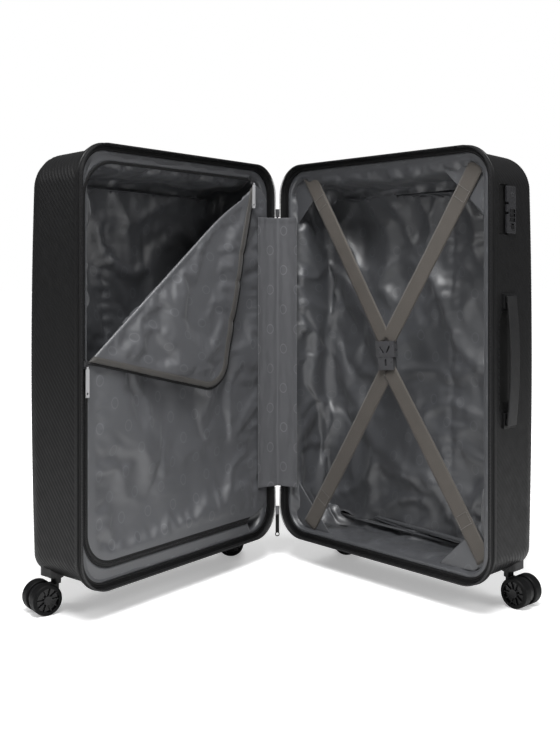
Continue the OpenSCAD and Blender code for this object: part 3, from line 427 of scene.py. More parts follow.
def shell_skin(rib_phase, sunk=None):
    """Outer and inner face of one moulded shell as one closed skin, ribs in its surface."""
    columns = rim_columns(174, 280, 40)
    rows = []
    for angle in (90, 60, 30):
        v = WALL_V + (EDGE_R - SKIN) * math.sin(math.radians(angle))
        rows.append((v, *section(v, -SKIN), 0.0))
    rows += [(v, *section(v, -SKIN), 0.0) for v in (WALL_V, 60, STEP_V, 19, 14)]
    rows += [(v, *section(v), 0.0) for v in (14, 15, 17, 19, 20, 21, 22)]
    rows += [(v, *section(v), float(smoothstep(STEP_V, 27, v)))
             for v in np.linspace(STEP_V, WALL_V, 37)]
    for angle in np.linspace(0, 90, 27)[1:]:
        v = WALL_V + EDGE_R * math.sin(math.radians(angle))
        rows.append((v, *section(v), 1.0))
    side, foot, top, r, foot_r = section(SHELL_D)
    rows += [(SHELL_D, side + e, foot + e, top + e, r - e, foot_r - e, 1.0)
             for e in (2.4, 4.8, 7.2, 9.6, 12, 14)]
    points = []
    for v, side, foot, top, r, foot_r, _ in rows:
        u, z = ring(columns, U0 + side, U1 - side, RIM_Z + foot, RIM_TOP - top, r, foot_r)
        points.append(np.stack([u, v + bulge(z, v), z], 1))
    points = np.array(points)
    normal = outward(points)
    weight = np.array([row[6] for row in rows])[:, None]
    ribs = RIB * np.cos(2 * math.pi * rib_phase(points)) * weight
    if sunk is not None:
        ribs = ribs - sunk(points) * (weight > 0)
    points = points + normal * ribs[..., None]
    bm = net(points, closed=True)
    rings_last = [e for e in bm.edges if e.is_boundary]
    inner = [e for e in rings_last if e.verts[0].co.y < 148 + bulge(e.verts[0].co.z, 147) - 1
             and abs(e.verts[0].co.y - 147 - bulge(e.verts[0].co.z, 147)) < 0.5]
    bmesh.ops.contextual_create(bm, geom=inner)

    # rear panel: a fine grid that runs with the ribs, cut to the last ring
    _, side, foot, *_ = rows[-1]
    u0, u1 = U0 + side, U1 - side
    z0, z1 = RIM_Z + foot, RIM_TOP - side
    panel = bmesh.new()
    diagonal = ((u1 - u0) + (z1 - z0)) / math.sqrt(8) + 8
    bmesh.ops.create_grid(panel, x_segments=int(2 * diagonal / 1.5), y_segments=24, size=diagonal)
    lean = rib_phase(np.array([[[1, 0, 0], [0, 0, 1], [0, 0, 0]]], float))[0]
    across = math.atan2(lean[1] - lean[2], lean[0] - lean[2])
    panel.transform(Matrix.Translation(((u0 + u1) / 2, 0, (z0 + z1) / 2))
                    @ Matrix.Rotation(-across, 4, "Y") @ Matrix.Rotation(math.pi / 2, 4, "X"))
    gap = 1.2
    trim_round(panel, u0 + gap, u1 - gap, z0 + gap, z1 - gap, 9)
    flat = np.array([v.co for v in panel.verts])[None]
    rise = RIB * np.cos(2 * math.pi * rib_phase(flat + (0, SHELL_D, 0) + np.stack(
        [0 * flat[..., 0], bulge(flat[..., 2], SHELL_D), 0 * flat[..., 0]], 2)))[0]
    for vert, lift in zip(panel.verts, rise):
        vert.co.y = SHELL_D + bulge(vert.co.z, SHELL_D) + lift
    panel.normal_update()
    if panel.faces[:][0].normal.y < 0:
        bmesh.ops.reverse_faces(panel, faces=panel.faces)
    add_mesh(bm, panel)
    band = [e for e in bm.edges if e.is_boundary and e.verts[0].co.y > 145]
    bmesh.ops.triangle_fill(bm, edges=band, use_beauty=True, normal=(0, 1, 0))
    bmesh.ops.triangulate(bm, faces=[f for f in bm.faces if len(f.verts) > 4])
    bmesh.ops.recalc_face_normals(bm, faces=bm.faces)
    return bm


def back_ribs(p):
    return p[..., 2] / 10.2 + p[..., 1] / 8.5 - p[..., 0] / 10.2


def front_ribs(p):
    return p[..., 2] / 10.2 - p[..., 1] / 8.5 + p[..., 0] / 10.2


HANDLE_V, HANDLE_Z, LOCK_V, LOCK_Z = 61, RIM_Z + 357, 66, RIM_Z + 597


def sunk_places(p):
    """Depth of the finger scoops beside both carry grips and of the pull recess beside the lock."""
    u, v, z = p[..., 0], p[..., 1], p[..., 2]

    def scoop(along, across):
        reach = np.sqrt(np.maximum(0, 317.0 ** 2 - np.minimum(np.abs(along), 79) ** 2))
        return np.maximum(0, reach - 307.0) * (1 - smoothstep(18, 25, np.abs(across)))

    side = (u > U1 - 40) * scoop(z - HANDLE_Z, v - HANDLE_V)
    top = (z > RIM_TOP - 40) * scoop(u - UC, v - HANDLE_V)
    y = v - LOCK_V
    pocket = (u > U1 - 40) * 7.0 * (smoothstep(-29, -26.5, y) * (1 - smoothstep(-8.5, -6, y))
                                    * (1 - smoothstep(37.5, 40, np.abs(z - LOCK_Z))))
    return side + top + pocket


back = shell_skin(back_ribs, sunk_places)
away = []
for face in back.faces:
    c = face.calc_center_median()
    in_cup = abs(c.x - UC) < 93 and abs(c.y - 131) < 14 and c.z > 686
    y, z = c.y - HANDLE_V, abs(c.z - HANDLE_Z) - 95
    in_side = c.x > U1 - 30 and abs(y) < 15 and abs(z) < 10
    in_top = c.z > RIM_TOP - 30 and abs(y) < 15 and abs(abs(c.x - UC) - 95) < 10
    if in_cup or in_side or in_top:
        away.append(face)
bmesh.ops.delete(back, geom=away, context="FACES")
# faces down inside the finger scoops and the lock's pull recess take the second finish, a darker
# copy of the shell plastic: painted shade
for face in back.faces:
    c = face.calc_center_median()
    sunk = float(sunk_places(np.array(c))) > 0.6
    face.material_index = int(sunk and 30 < c.y < 100 and face.normal.y < 0.9)
skin = piece("back_shell_skin", back, BACK, SHELL, "back_half", ("back_shell",), edge=50)
skin.data.materials.append(SHADE)
piece("front_shell_skin", shell_skin(front_ribs), FRONT, SHELL, "front_half",
      ("front_shell",), edge=50)

# ---------------------------------------------------------------- rims and zip tapes

RIM_STEPS = rim_columns(24, 36, 24)


def round_rim(profile):
    """Sweeps (inset, depth) points round the rim's outline; the profile closes on itself."""
    points = []
    for inset, v in profile + profile[:1]:
        u, z = ring(RIM_STEPS, U0 + inset, U1 - inset, RIM_Z + inset, RIM_TOP - inset, 57 - inset)
        points.append(np.stack([u, 0 * u + v, z], 1))
    bm = net(points, closed=True)
    bmesh.ops.remove_doubles(bm, verts=bm.verts, dist=1e-4)
    bmesh.ops.recalc_face_normals(bm, faces=bm.faces)
    return bm


BEAD = [(2.5 - 2.5 * math.sin(math.radians(a)), 11.5 - 2.5 * math.cos(math.radians(a)))
        for a in range(-30, 181, 15)]
TRIM_LINE = ([(12, 10.4), (11.2, 10), (8.6, 10), (8, 10.5), (7.4, 10), (5.6, 9.9), (4.9, 10.3)]
             + BEAD + [(12, 14)])
TAPE_LINE = [(2, 9.5), (2, 2.4), (2.3, 2.1), (2.6, 2.4), (2.9, 2.7), (2.9, 9.5)]


def cut_at_spine(bm):
    """Takes the tape away where the cloth spine covers it."""
    for z in (COVER_LOW, COVER_HIGH):
        slice_at(bm, (0, 0, z), (0, 0, 1))
    gone = [f for f in bm.faces if f.calc_center_median().x < 20
            and COVER_LOW < f.calc_center_median().z < COVER_HIGH]
    bmesh.ops.delete(bm, geom=gone, context="FACES")
    bmesh.ops.holes_fill(bm, edges=[e for e in bm.edges if e.is_boundary], sides=0)
    return bm


def along(path, pitch):
    """Places at an even pitch along a closed path of (u, z), with the direction there."""
    path = np.concatenate([path, path[:1]])
    run = np.concatenate([[0], np.cumsum(np.linalg.norm(np.diff(path, axis=0), axis=1))])
    at = np.arange(0, run[-1] - pitch / 2, pitch)
    u, z = np.interp(at, run, path[:, 0]), np.interp(at, run, path[:, 1])
    du = np.interp(at + 0.5, run, path[:, 0]) - u
    dz = np.interp(at + 0.5, run, path[:, 1]) - z
    return [(a, b, math.atan2(d, c)) for a, b, c, d in zip(u, z, du, dz)]


def clear_of_cover(u, z):
    return u >= 20 or not COVER_LOW - 1 < z < COVER_HIGH + 1


def teeth(path, pitch, size, v, keep):
    bm = bmesh.new()
    for u, z, angle in along(path, pitch):
        if keep(u, z):
            bmesh.ops.create_cube(bm, size=1, matrix=Matrix.Translation((u, v, z))
                                  @ Matrix.Rotation(-angle, 4, "Y") @ Matrix.Diagonal((*size, 1)))
    return bm


for half, name, body in ((BACK, "back", "back_half"), (FRONT, "front", "front_half")):
    piece(f"{name}_rim_binding", round_rim(TRIM_LINE), half, TRIM, body,
          (f"{name}_trim",), edge=60)
    piece(f"{name}_zip_cloth", cut_at_spine(round_rim(TAPE_LINE)), half, TAPE, body,
          (f"{name}_zip_tape",), edge=60)
    u, z = ring(rim_columns(60, 90, 40), U0 + 1.8, U1 - 1.8, RIM_Z + 1.8, RIM_TOP - 1.8, 55.2)
    piece(f"{name}_zip_teeth", teeth(np.stack([u, z], 1), 2.1, (1.2, 2.1, 1.9), 1.4,
                                     clear_of_cover), half, COIL, body)

# ---------------------------------------------------------------- linings


def settle(obj, held, growth, steps, weight, reach, inward=0, stiffness=0.02):
    """A short cloth run gives the crumples their direction. Only part of each movement is kept:
    shortened to reach millimetres, and its outward part cut away where inward is 1 or -1."""
    mesh = obj.data
    facing = np.zeros(len(mesh.vertices) * 3)
    mesh.vertices.foreach_get("normal", facing)
    start = np.zeros(len(mesh.vertices) * 3)
    mesh.vertices.foreach_get("co", start)
    group = obj.vertex_groups.new(name="held")
    group.add([int(k) for k in np.flatnonzero(held)], 1.0, "REPLACE")
    drape = obj.modifiers.new("drape", "CLOTH")
    cloth = drape.settings
    cloth.quality = 6
    cloth.mass = 0.15
    cloth.tension_stiffness = cloth.compression_stiffness = 20
    cloth.shear_stiffness = 8
    cloth.bending_stiffness = stiffness
    cloth.tension_damping = cloth.compression_damping = cloth.shear_damping = 8
    cloth.bending_damping = 0.5
    cloth.air_damping = 3
    cloth.shrink_min = -growth
    cloth.vertex_group_mass = "held"
    cloth.effector_weights.gravity = weight
    drape.collision_settings.use_collision = False
    drape.point_cache.frame_start, drape.point_cache.frame_end = 1, steps
    scene = bpy.context.scene
    for step in range(1, steps + 1):
        scene.frame_set(step)
    shaped = obj.evaluated_get(bpy.context.evaluated_depsgraph_get()).to_mesh()
    end = np.zeros_like(start)
    shaped.vertices.foreach_get("co", end)
    obj.modifiers.remove(drape)
    obj.vertex_groups.remove(group)
    scene.frame_set(1)
    move = (end - start).reshape(-1, 3)
    far = np.linalg.norm(move, axis=1, keepdims=True)
    move *= np.tanh(far / (reach * MM)) * (reach * MM) / np.maximum(far, 1e-9)
    if inward:
        facing = facing.reshape(-1, 3) * inward
        off = (move * facing).sum(1)
        move += facing * (np.maximum(off, -0.4 * MM) - off)[:, None]
    mesh.vertices.foreach_set("co", (start.reshape(-1, 3) + move).ravel())
    mesh.update()


def soften(obj):
    smooth = obj.modifiers.new("smooth cloth", "SUBSURF")
    smooth.levels = smooth.render_levels = 1


def fullness_at(points, seed):
    """How far the loose cloth stands in from its frame."""
    return np.maximum(puckers(points, seed) + 3.0, 0.2)


def cloth_box(depth, side_out, top_in, spine_in, foot_in, seed):
    """Sewn lining: seam behind the rim, four walls, a soft corner, and a creased rear panel."""
    columns = rim_columns(54, 82, 8)
    rows = [(14.3, 7, 7, 7, 7, 50), (14.3, 14, 14, 12, 12, 42),
            (14.4, side_out - 1.5, top_in - 1.5, spine_in - 1.5, foot_in - 1.5, 35)]
    soft = 24
    for v in np.linspace(17, depth - soft, 12):
        rows.append((v, side_out, top_in, spine_in, foot_in, 34))
    for angle in np.linspace(0, 90, 6)[1:]:
        e = soft * (1 - math.cos(math.radians(angle)))
        rows.append((depth - soft + soft * math.sin(math.radians(angle)),
                     side_out + e, top_in + e, spine_in + e, foot_in + e, 34 - 0.5 * e))
    points = []
    for v, side, top, spine, foot, r in rows:
        u, z = ring(columns, U0 + spine, U1 - side, RIM_Z + foot, RIM_TOP - top, r)
        points.append(np.stack([u, 0 * u + v, z], 1))
    points = np.array(points)
    free = smoothstep(15, 40, points[..., 1])
    inward = free * fullness_at(points, seed)
    points = points - outward(points) * inward[..., None]
    points[..., 2] += hump(points)
    bm = net(points, closed=True)
    e = soft + 3
    u0, u1 = U0 + spine_in + e, U1 - side_out - e
    z0, z1 = RIM_Z + foot_in + e, RIM_TOP - top_in - e
    us, zs = np.linspace(u0, u1, 56), np.linspace(z0, z1, 84)
    floor = np.stack(np.broadcast_arrays(us[None], depth, zs[:, None]), 2).astype(float)
    floor[..., 1] -= fullness_at(floor, seed)
    add_mesh(bm, net(floor, flat=floor[..., (0, 2)]))
    gap = [e for e in bm.edges if e.is_boundary and e.verts[0].co.y > 20]
    bmesh.ops.triangle_fill(bm, edges=gap, use_beauty=True, normal=(0, -1, 0))
    bmesh.ops.recalc_face_normals(bm, faces=bm.faces)
    return bm


def hump(p):
    """The cloth rides over the two caster bosses."""
    lift = 0
    for u in CASTER_U:
        away = np.hypot(p[..., 0] - u, (p[..., 1] - CASTER_V) * 0.8)
        lift = lift + 24 * (1 - smoothstep(14, 36, away))
    return lift * (1 - smoothstep(70, 100, p[..., 2]))


SEAM_U = 330


def puckers(p, seed):
    """Folds of loose satin: broad ones, sharp creases that wander, small crinkles, a sewn seam."""
    bent = p + 42 * np.stack([wavy(p, (130, 130, 150), seed + 20 + k, 1) for k in range(3)], -1)
    broad = wavy(bent, (75, 80, 150), seed)
    sharp = (1 - np.abs(wavy(bent, (110, 120, 200), seed + 3, 1))) ** 6
    cross = (1 - np.abs(wavy(bent[..., (2, 1, 0)], (90, 110, 130), seed + 8, 1))) ** 9
    small = wavy(bent, (20, 26, 32), seed + 5)
    near = np.abs(p[..., 0] - SEAM_U)
    gather = 1.6 * np.exp(-(near / 16) ** 2) * np.cos(p[..., 2] / 3.2 + 2 * small)
    seam = 2.4 * np.exp(-(near / 2.5) ** 2) + gather
    return 4.5 * broad + 9.0 * sharp + 6.5 * cross + 1.7 * small - seam * (p[..., 1] > 90)


BACK_DEEP, FRONT_DEEP, SEWN_V = 114, 126, 17.5
back_lining = piece("back_lining_cloth", cloth_box(BACK_DEEP, 24, 24, 18, 17, 1), BACK, LINING,
                    "back_half", ("back_lining",), edge=80)
front_lining = piece("front_lining_cloth", cloth_box(FRONT_DEEP, 24, 24, 24, 17, 4), FRONT, LINING,
                     "front_half", ("front_lining",), edge=80)
for cloth, deep, half, shell in ((back_lining, BACK_DEEP, BACK, "back_shell_skin"),
                                 (front_lining, FRONT_DEEP, FRONT, "front_shell_skin")):
    inside = half.inverted()
    local = np.array([inside @ v.co for v in cloth.data.vertices])
    middle = np.argmin(np.linalg.norm(local - (245, deep, 400), axis=1))
    to_viewer = (half.to_3x3() @ Vector((0, -1, 0))).dot(cloth.data.vertices[middle].normal)
    settle(cloth, local[:, 1] < SEWN_V, growth=0.09, steps=22, weight=0.15, reach=16,
           inward=math.copysign(1, to_viewer))
    soften(cloth)
    depth = deep * MM
    thicken(cloth, 0.4)

# ---------------------------------------------------------------- divider with its open corner

ZIP = dict(u0=11, u1=468, z0=83, z1=714, r=57)
FOLD_A, FOLD_B = np.array((468.0, 397.0)), np.array((66.0, 708.7))
FOLD_D = (FOLD_B - FOLD_A) / np.linalg.norm(FOLD_B - FOLD_A)
FOLD_N = np.array((-FOLD_D[1], FOLD_D[0])) * (-1)
FOLD_LONG = 508.7
DIVIDER_V = 14.3
FLAP_NEAR, FLAP_FAR, PANEL_NEAR = 2.5, 11.4, 12.6


def zip_ring(grow, columns):
    return ring(columns, ZIP["u0"], ZIP["u1"] + grow, ZIP["z0"] - grow, ZIP["z1"] + grow,
                ZIP["r"] + grow)


def fold_cloth(u, z, lift=0.0):
    """Where the divider's cloth lies: flat below the fold line, turned over and hanging above it.
    lift is the distance off the cloth's inner face; on the turned corner it points outward."""
    u, z = np.asarray(u, float), np.asarray(z, float)
    s = (u - FOLD_A[0]) * FOLD_N[0] + (z - FOLD_A[1]) * FOLD_N[1]
    t = (u - FOLD_A[0]) * FOLD_D[0] + (z - FOLD_A[1]) * FOLD_D[1]
    share = t / FOLD_LONG
    # the turned edge sags a little toward its upper end
    drop = 9 * smoothstep(0.72, 1.0, share)
    s = s + drop
    bend = 2.4
    angle = np.clip(s / bend, 0, math.pi)
    over = np.maximum(0, s - math.pi * bend)
    flat = np.minimum(s, 0) + bend * np.sin(angle) - over - drop
    v = DIVIDER_V - bend * (1 - np.cos(angle)) + lift * np.cos(angle)
    where = np.stack([u, 0 * u, z], -1)
    # flap: soft folds that fan out from the fold line to its free corner
    hang = smoothstep(8, 90, over)
    fan = np.sin(share * 17 + over / 60 + 0.8 * wavy(where, (120, 1, 120), 9, 1))
    creases = (1 - np.abs(wavy(where, (70, 1, 150), 12, 1))) ** 6
    swell = hang * (2.6 * fan + 3.4 * wavy(where, (90, 1, 130), 8) - 3.0 * creases)
    v = v - np.where(over > 0, np.clip(swell + 2.6 * hang, -0.8, 7.4), 0)
    # panel: taut at the zip, slack in the middle
    edge = np.minimum(np.minimum(ZIP["u1"] - u, u - ZIP["u0"]),
                      np.minimum(z - ZIP["z0"], ZIP["z1"] - z))
    slack = smoothstep(8, 120, edge) * (s <= 0)
    sharp = (1 - np.abs(wavy(where, (120, 1, 260), 17, 1))) ** 6
    ripple = 4.5 * wavy(where, (80, 1, 170), 14) + 5 * sharp
    taut = 0.25 * smoothstep(3, 20, edge) * (s <= 0) * wavy(where, (16, 1, 26), 21, 1)
    v = v + slack * (ripple + 3) + taut
    shear = -0.1 * over
    return (FOLD_A[0] + t * FOLD_D[0] + flat * FOLD_N[0] + shear, v,
            FOLD_A[1] + t * FOLD_D[1] + flat * FOLD_N[1])


panel = bmesh.new()
bmesh.ops.create_grid(panel, x_segments=70, y_segments=98, size=1)
panel.transform(Matrix.Translation((237, 0, 398.5)) @ Matrix.Diagonal((228, 1, 316, 1))
                @ Matrix.Rotation(math.pi / 2, 4, "X"))
PU0, PU1, PZ0, PZ1, PR = 11, 463, 88, 709, 52
trim_round(panel, PU0, PU1, PZ0, PZ1, PR)
for s in (0, 2.5, 5, 7.6, 10):
    at = FOLD_A + FOLD_N * s
    slice_at(panel, (at[0], 0, at[1]), (FOLD_N[0], 0, FOLD_N[1]))
flat_uv = panel.loops.layers.uv.new("flat")
for face in panel.faces:
    for loop in face.loops:
        loop[flat_uv].uv = (loop.vert.co.x * MM, loop.vert.co.z * MM)
cut = np.array([v.co for v in panel.verts])
cut_area = sum(f.calc_area() for f in panel.faces) * MM * MM
for vert, *place in zip(panel.verts, *fold_cloth(cut[:, 0], cut[:, 2])):
    vert.co = place
bmesh.ops.triangulate(panel, faces=[f for f in panel.faces if len(f.verts) > 4])
divider = piece("divider_cloth", panel, FRONT, DIVIDER, "front_half",
                ("divider_panel",), edge=80)
rise = (cut[:, 0] - FOLD_A[0]) * FOLD_N[0] + (cut[:, 2] - FOLD_A[1]) * FOLD_N[1]
to_edge = np.zeros(len(cut), bool)
border = bmesh.new()
border.from_mesh(divider.data)
to_edge[[v.index for v in border.verts if v.is_boundary]] = True
border.free()
corner = (np.abs(cut[:, (0, 2)] - ((PU0 + PU1) / 2, (PZ0 + PZ1) / 2))
          - ((PU1 - PU0) / 2 - PR, (PZ1 - PZ0) / 2 - PR))
to_rim = PR - np.linalg.norm(np.maximum(corner, 0), axis=1) - np.minimum(corner.max(1), 0)
settle(divider, to_edge | (to_rim < 18) | ((rise > -1) & (rise < 14)),
       growth=0.06, steps=18, weight=0.15, reach=9)
inside = FRONT.inverted()
for vert, s in zip(divider.data.vertices, rise):
    place = inside @ vert.co
    if s > 8:
        place.y = min(max(place.y, FLAP_NEAR), FLAP_FAR)
    elif s < -1:
        place.y = max(place.y, PANEL_NEAR)
    vert.co = FRONT @ place
soften(divider)
thicken(divider, 0.4)


def zip_run(grow, columns, folded, lift):
    """Points along the divider's zip line, grow outside it."""
    u, z = zip_ring(grow, columns)
    x, v, y = fold_cloth(u, z, lift) if folded else (u, 0 * u + DIVIDER_V + lift, z)
    return np.stack([x, v, y], 1)


def zip_strip(a, b, folded, lift, start, stop):
    """A strip along the zip line, from grow a to grow b, between two places of its run."""
    columns = rim_columns(ACROSS, UPRIGHT, ROUND)
    return net([zip_run(grow, columns, folded, lift)[start:stop] for grow in np.linspace(a, b, 4)])


ACROSS, UPRIGHT, ROUND = 90, 126, 30
THREE_SIDES = 2 * (ACROSS + ROUND) + UPRIGHT
zip_first, zip_last = 1, THREE_SIDES + 1
outer_tape = piece("divider_tape_outer", zip_strip(0.4, 5, False, -0.5, zip_first, zip_last), FRONT,
                   TAPE, "front_half", ("divider_zipper",), edge=80)
inner_tape = piece("divider_tape_inner", zip_strip(-0.4, -5.5, True, -0.5, zip_first, zip_last),
                   FRONT, TAPE, "front_half", edge=80)
seam_band = piece("divider_seam_band", zip_strip(-5, -15, True, 0.7, zip_first, zip_last), FRONT,
                  BAND, "front_half", edge=80)
for strip in (outer_tape, inner_tape, seam_band):
    thicken(strip, 0.5)


def coil(points, size):
    """A row of small teeth on a run of points."""
    bm = bmesh.new()
    for a, b in zip(points[:-1], points[1:]):
        d = Vector(b - a)
        turn = d.to_track_quat("X", "Y").to_matrix().to_4x4()
        bmesh.ops.create_cube(bm, size=1, matrix=Matrix.Translation(Vector((a + b) / 2)) @ turn
                              @ Matrix.Diagonal((d.length * size[0], size[1], size[2], 1)))
    return bm


fine = rim_columns(220, 300, 44)
first, last = 26, 220 + 44 + 300 + 44 + 220 - 26
piece("divider_teeth_outer", coil(zip_run(0.9, fine, False, -0.9)[first:last], (0.55, 1.2, 1.6)),
      FRONT, COIL, "front_half")
piece("divider_teeth_inner", coil(zip_run(-0.9, fine, True, -0.9)[first:last], (0.55, 1.2, 1.6)),
      FRONT, COIL, "front_half")

# margin between the rim's seam and the zip
columns = rim_columns(ACROSS, UPRIGHT, ROUND)
points = []
for share in np.linspace(0, 1, 7):
    ou, oz = ring(columns, U0 + 7, U1 - 7, RIM_Z + 7, RIM_TOP - 7, 50)
    iu, iz = zip_ring(5.2, columns)
    u, z = ou + (iu - ou) * share, oz + (iz - oz) * share
    place = np.stack([u, 0 * u + DIVIDER_V, z], 1)
    place[:, 1] += math.sin(math.pi * share) * (1.2 * wavy(place, (60, 1, 60), 30) + 0.6)
    points.append(place[:THREE_SIDES + 2])
margin = piece("divider_margin_cloth", net(points), FRONT, DIVIDER, "front_half",
               ("divider_margin",), edge=80)
thicken(margin, 0.4)

# ---------------------------------------------------------------- cloth spine

cover = []
for z in np.concatenate([COVER_LOW + np.array((0, 1.5, 8, 9)),
                         np.linspace(COVER_LOW + 14, COVER_HIGH - 14, 96),
                         COVER_HIGH - np.array((9, 8, 1.5, 0))]):
    row = []
    hem = 0.5 if (z < COVER_LOW + 8.5 or z > COVER_HIGH - 8.5) else 0.0
    for s in np.linspace(-44, 40, 43):
        half = FRONT if s < 0 else BACK
        a = abs(s)
        depth = 0.6 + 13.2 * smoothstep(-6, 42, a) - 1.2
        ripple = (1.7 * noise.noise(Vector((s / 14, z / 90, 3.3)))
                  + 0.7 * noise.noise(Vector((s / 7, z / 22, 5))))
        lie = max(0.4, depth + ripple * min(1, (44 - a) / 10)) - hem * 0.6
        row.append(half @ Vector((max(a, 0.5), lie, z)))
    cover.append(row)
cover = np.array(cover)
# round the crease where the two halves meet
for _ in range(3):
    mid = cover[:, 19:25].copy()
    cover[:, 20:24] = (mid[:, :-2] + 2 * mid[:, 1:-1] + mid[:, 2:]) / 4
bm = net(cover / MM)
bm.transform(Matrix.Scale(MM, 4))
mesh_piece = piece("spine_cover_cloth", bm, None, COVER, "back_half",
                   ("spine_cover_back", "spine_cover_front"), edge=80)
thicken(mesh_piece, 0.8)
mesh_piece.parent = None
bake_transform(mesh_piece)

# ---------------------------------------------------------------- cross straps

STRAP_V, STRAP_W = 20.0, 30.0
BUCKLE_AT = np.array((257.0, RIM_Z + 354.0))
TILT = math.radians(5)
ENDS = {"tl": (58, RIM_Z + 690), "tr": (456, RIM_Z + 686),
        "bl": (62, RIM_Z + 20), "br": (462, RIM_Z + 38)}


def buckle_end(s):
    return BUCKLE_AT + s * 20 * np.array((math.sin(-TILT), math.cos(TILT)))


def strap_line(corner, s):
    """Start, length, direction and sideways direction of a strap from a corner to the buckle."""
    a = np.array(ENDS[corner], float)
    run = buckle_end(s) - a
    length = np.linalg.norm(run)
    return a, length, run / length, np.array((-run[1], run[0])) / length


def strap(corner, s, v, seed, sag=2.5):
    """A length of webbing from a corner to one end of the buckle."""
    a, length, d, n = strap_line(corner, s)
    start, stop = 4.0, length - 6.0
    rows, flat = [], []
    for t in np.linspace(start, stop, 60):
        share = (t - start) / (stop - start)
        roll = 0.05 * math.sin(share * 5 + seed)
        line = []
        for w in np.linspace(-STRAP_W / 2, STRAP_W / 2, 9):
            at = a + d * t + n * w
            dip = sag * math.sin(math.pi * share) * 0.4 + roll * w * math.sin(math.pi * share)
            edge_round = 0.35 * (abs(w) / (STRAP_W / 2)) ** 6
            line.append((at[0], v + 0.75 + dip + edge_round, at[1]))
        rows.append(line)
        flat.append([(w, t) for w in np.linspace(-STRAP_W / 2, STRAP_W / 2, 9)])
    return net(rows, flat=np.array(flat))


def stitches(corner, s, v, places):
    """Boxed stitching in lighter thread at a strap's sewn end."""
    a, _, d, n = strap_line(corner, s)
    bm = bmesh.new()
    for t, w, along_strap in places:
        at = a + d * t + n * w
        direction = math.atan2(d[1], d[0]) + (0 if along_strap else math.pi / 2)
        bmesh.ops.create_cube(bm, size=1, matrix=Matrix.Translation((at[0], v - 0.25, at[1]))
                              @ Matrix.Rotation(-direction, 4, "Y")
                              @ Matrix.Diagonal((2.4, 0.5, 0.7, 1)))
    return bm


def sewn_box(t0, t1):
    box = [(t, w, True) for w in (-12, 12) for t in np.arange(t0, t1, 3.6)]
    return box + [(t, w, False) for t in (t0, t1) for w in np.arange(-10, 11, 3.6)]


STRAPS = (("strap_upper_webbing", (("tl", 1, STRAP_V, 1), ("tr", 1, STRAP_V, 2)), "strap_upper"),
          ("strap_lower_front_webbing", (("br", -1, STRAP_V, 3),), "strap_lower_front"),
          ("strap_lower_back_webbing", (("bl", -1, STRAP_V + 1.9, 4),), "strap_lower_back"))
for name, runs, node in STRAPS:
    obj = piece(name, merge(*(strap(*run) for run in runs)), BACK, WEBBING, "back_half",
                (node,), edge=80)
    thicken(obj, 1.4)
THREAD = woven("thread", (0.2, 0.19, 0.18), 0.6, 0.8, 0.05)
piece("strap_stitches", merge(*(stitches(c, s, v, sewn_box(64, 84)) for _, runs, _ in STRAPS
                                for c, s, v, _ in runs)), BACK, THREAD, "back_half")

# triangular cloth anchors
gussets = []
GV = 23.7
for su, sz in ((0, 1), (1, 0), (1, 1), (0, 0)):
    u_wall = U1 - 25.5 if su else U0 + 19.5
    z_wall = RIM_TOP - 25.5 if sz else RIM_Z + 18.5
    du, dz = (-1 if su else 1), (-1 if sz else 1)
    rows = []
    for a in np.linspace(0, 1, 22):
        line = []
        for b in np.linspace(0, 1, 22):
            # a triangle as a collapsed square, its corner rounded to the lining's
            p, q = a * 92, b * (92 - a * 92)
            if p < 33 and q < 33:
                far = math.hypot(33 - p, 33 - q)
                if far > 32:
                    p, q = 33 - (33 - p) * 32 / far, 33 - (33 - q) * 32 / far
            ripple = 1.2 * noise.noise(Vector((p / 30, q / 30, su + 2 * sz)))
            line.append((u_wall + du * p, GV + 0.6 + ripple, z_wall + dz * q))
        rows.append(line)
    part = net(rows)
    bmesh.ops.remove_doubles(part, verts=part.verts, dist=1e-4)
    if du * dz < 0:
        bmesh.ops.reverse_faces(part, faces=part.faces)
    gussets.append(part)
gusset = piece("strap_gusset_cloth", merge(*gussets), BACK, LINING, "back_half",
               ("strap_gussets",), edge=80)
thicken(gusset, 0.6)

# ---------------------------------------------------------------- carried-over hard parts


def carry(names, made, break_edge=0.5, angle=35):
    """CAD nodes that stay: merged, with broken edges and their finish."""
    for name in names.split():
        obj = nodes[name]
        mesh = obj.data
        mesh.materials.clear()
        mesh.materials.append(made)
        if "custom_normal" in mesh.attributes:
            mesh.attributes.remove(mesh.attributes["custom_normal"])
        mesh.shade_smooth()
        weld = obj.modifiers.new("weld", "WELD")
        weld.merge_threshold = 1e-6
        if break_edge:
            bevel = obj.modifiers.new("broken edges", "BEVEL")
            bevel.width = break_edge * MM
            bevel.segments = 2
            bevel.limit_method = "ANGLE"
            bevel.angle_limit = math.radians(angle)
            bevel.harden_normals = False
        even = obj.modifiers.new("even normals", "WEIGHTED_NORMAL")
        even.keep_sharp = False
        even.weight = 80


carry("side_grip top_grip", GRIP, 1.1)
carry("handle_bases trolley_bezel tube_bracket", HARD, 0.6)
carry("trolley_grip", GRIP, 1.5)
carry("trolley_button", TRIM, 0.5)
carry("caster_housings_back caster_housings_front", HARD, 0.8)
carry("lock_case", LOCK, 0.6)
carry("lock_dial_1 lock_dial_2 lock_dial_3 lock_slide", HARD, 0.2)
carry("lock_key_barrel", ZINC, 0.2)
carry("outer_tubes middle_tubes inner_tubes", TUBE, 0.0)
carry("buckle_socket buckle_plug", BUCKLE, 0.8)
carry("main_sliders divider_sliders", ZINC, 0.3)
carry("divider_pull_side divider_pull_top", PULL, 0.25)
carry("main_pull_lower main_pull_upper", TRIM, 0.25)
CASTERS = ("back_outer", "back_inner", "front_outer", "front_inner")
carry(" ".join(f"fork_{c}" for c in CASTERS), HARD, 0.5)
carry(" ".join(f"axle_{c}" for c in CASTERS), STEEL, 0.2)
WHEELS = [f"wheel_{c}_{s}" for c in CASTERS for s in "ab"]
carry(" ".join(WHEELS), TREAD, 0.3)
DISH_R = 18.7
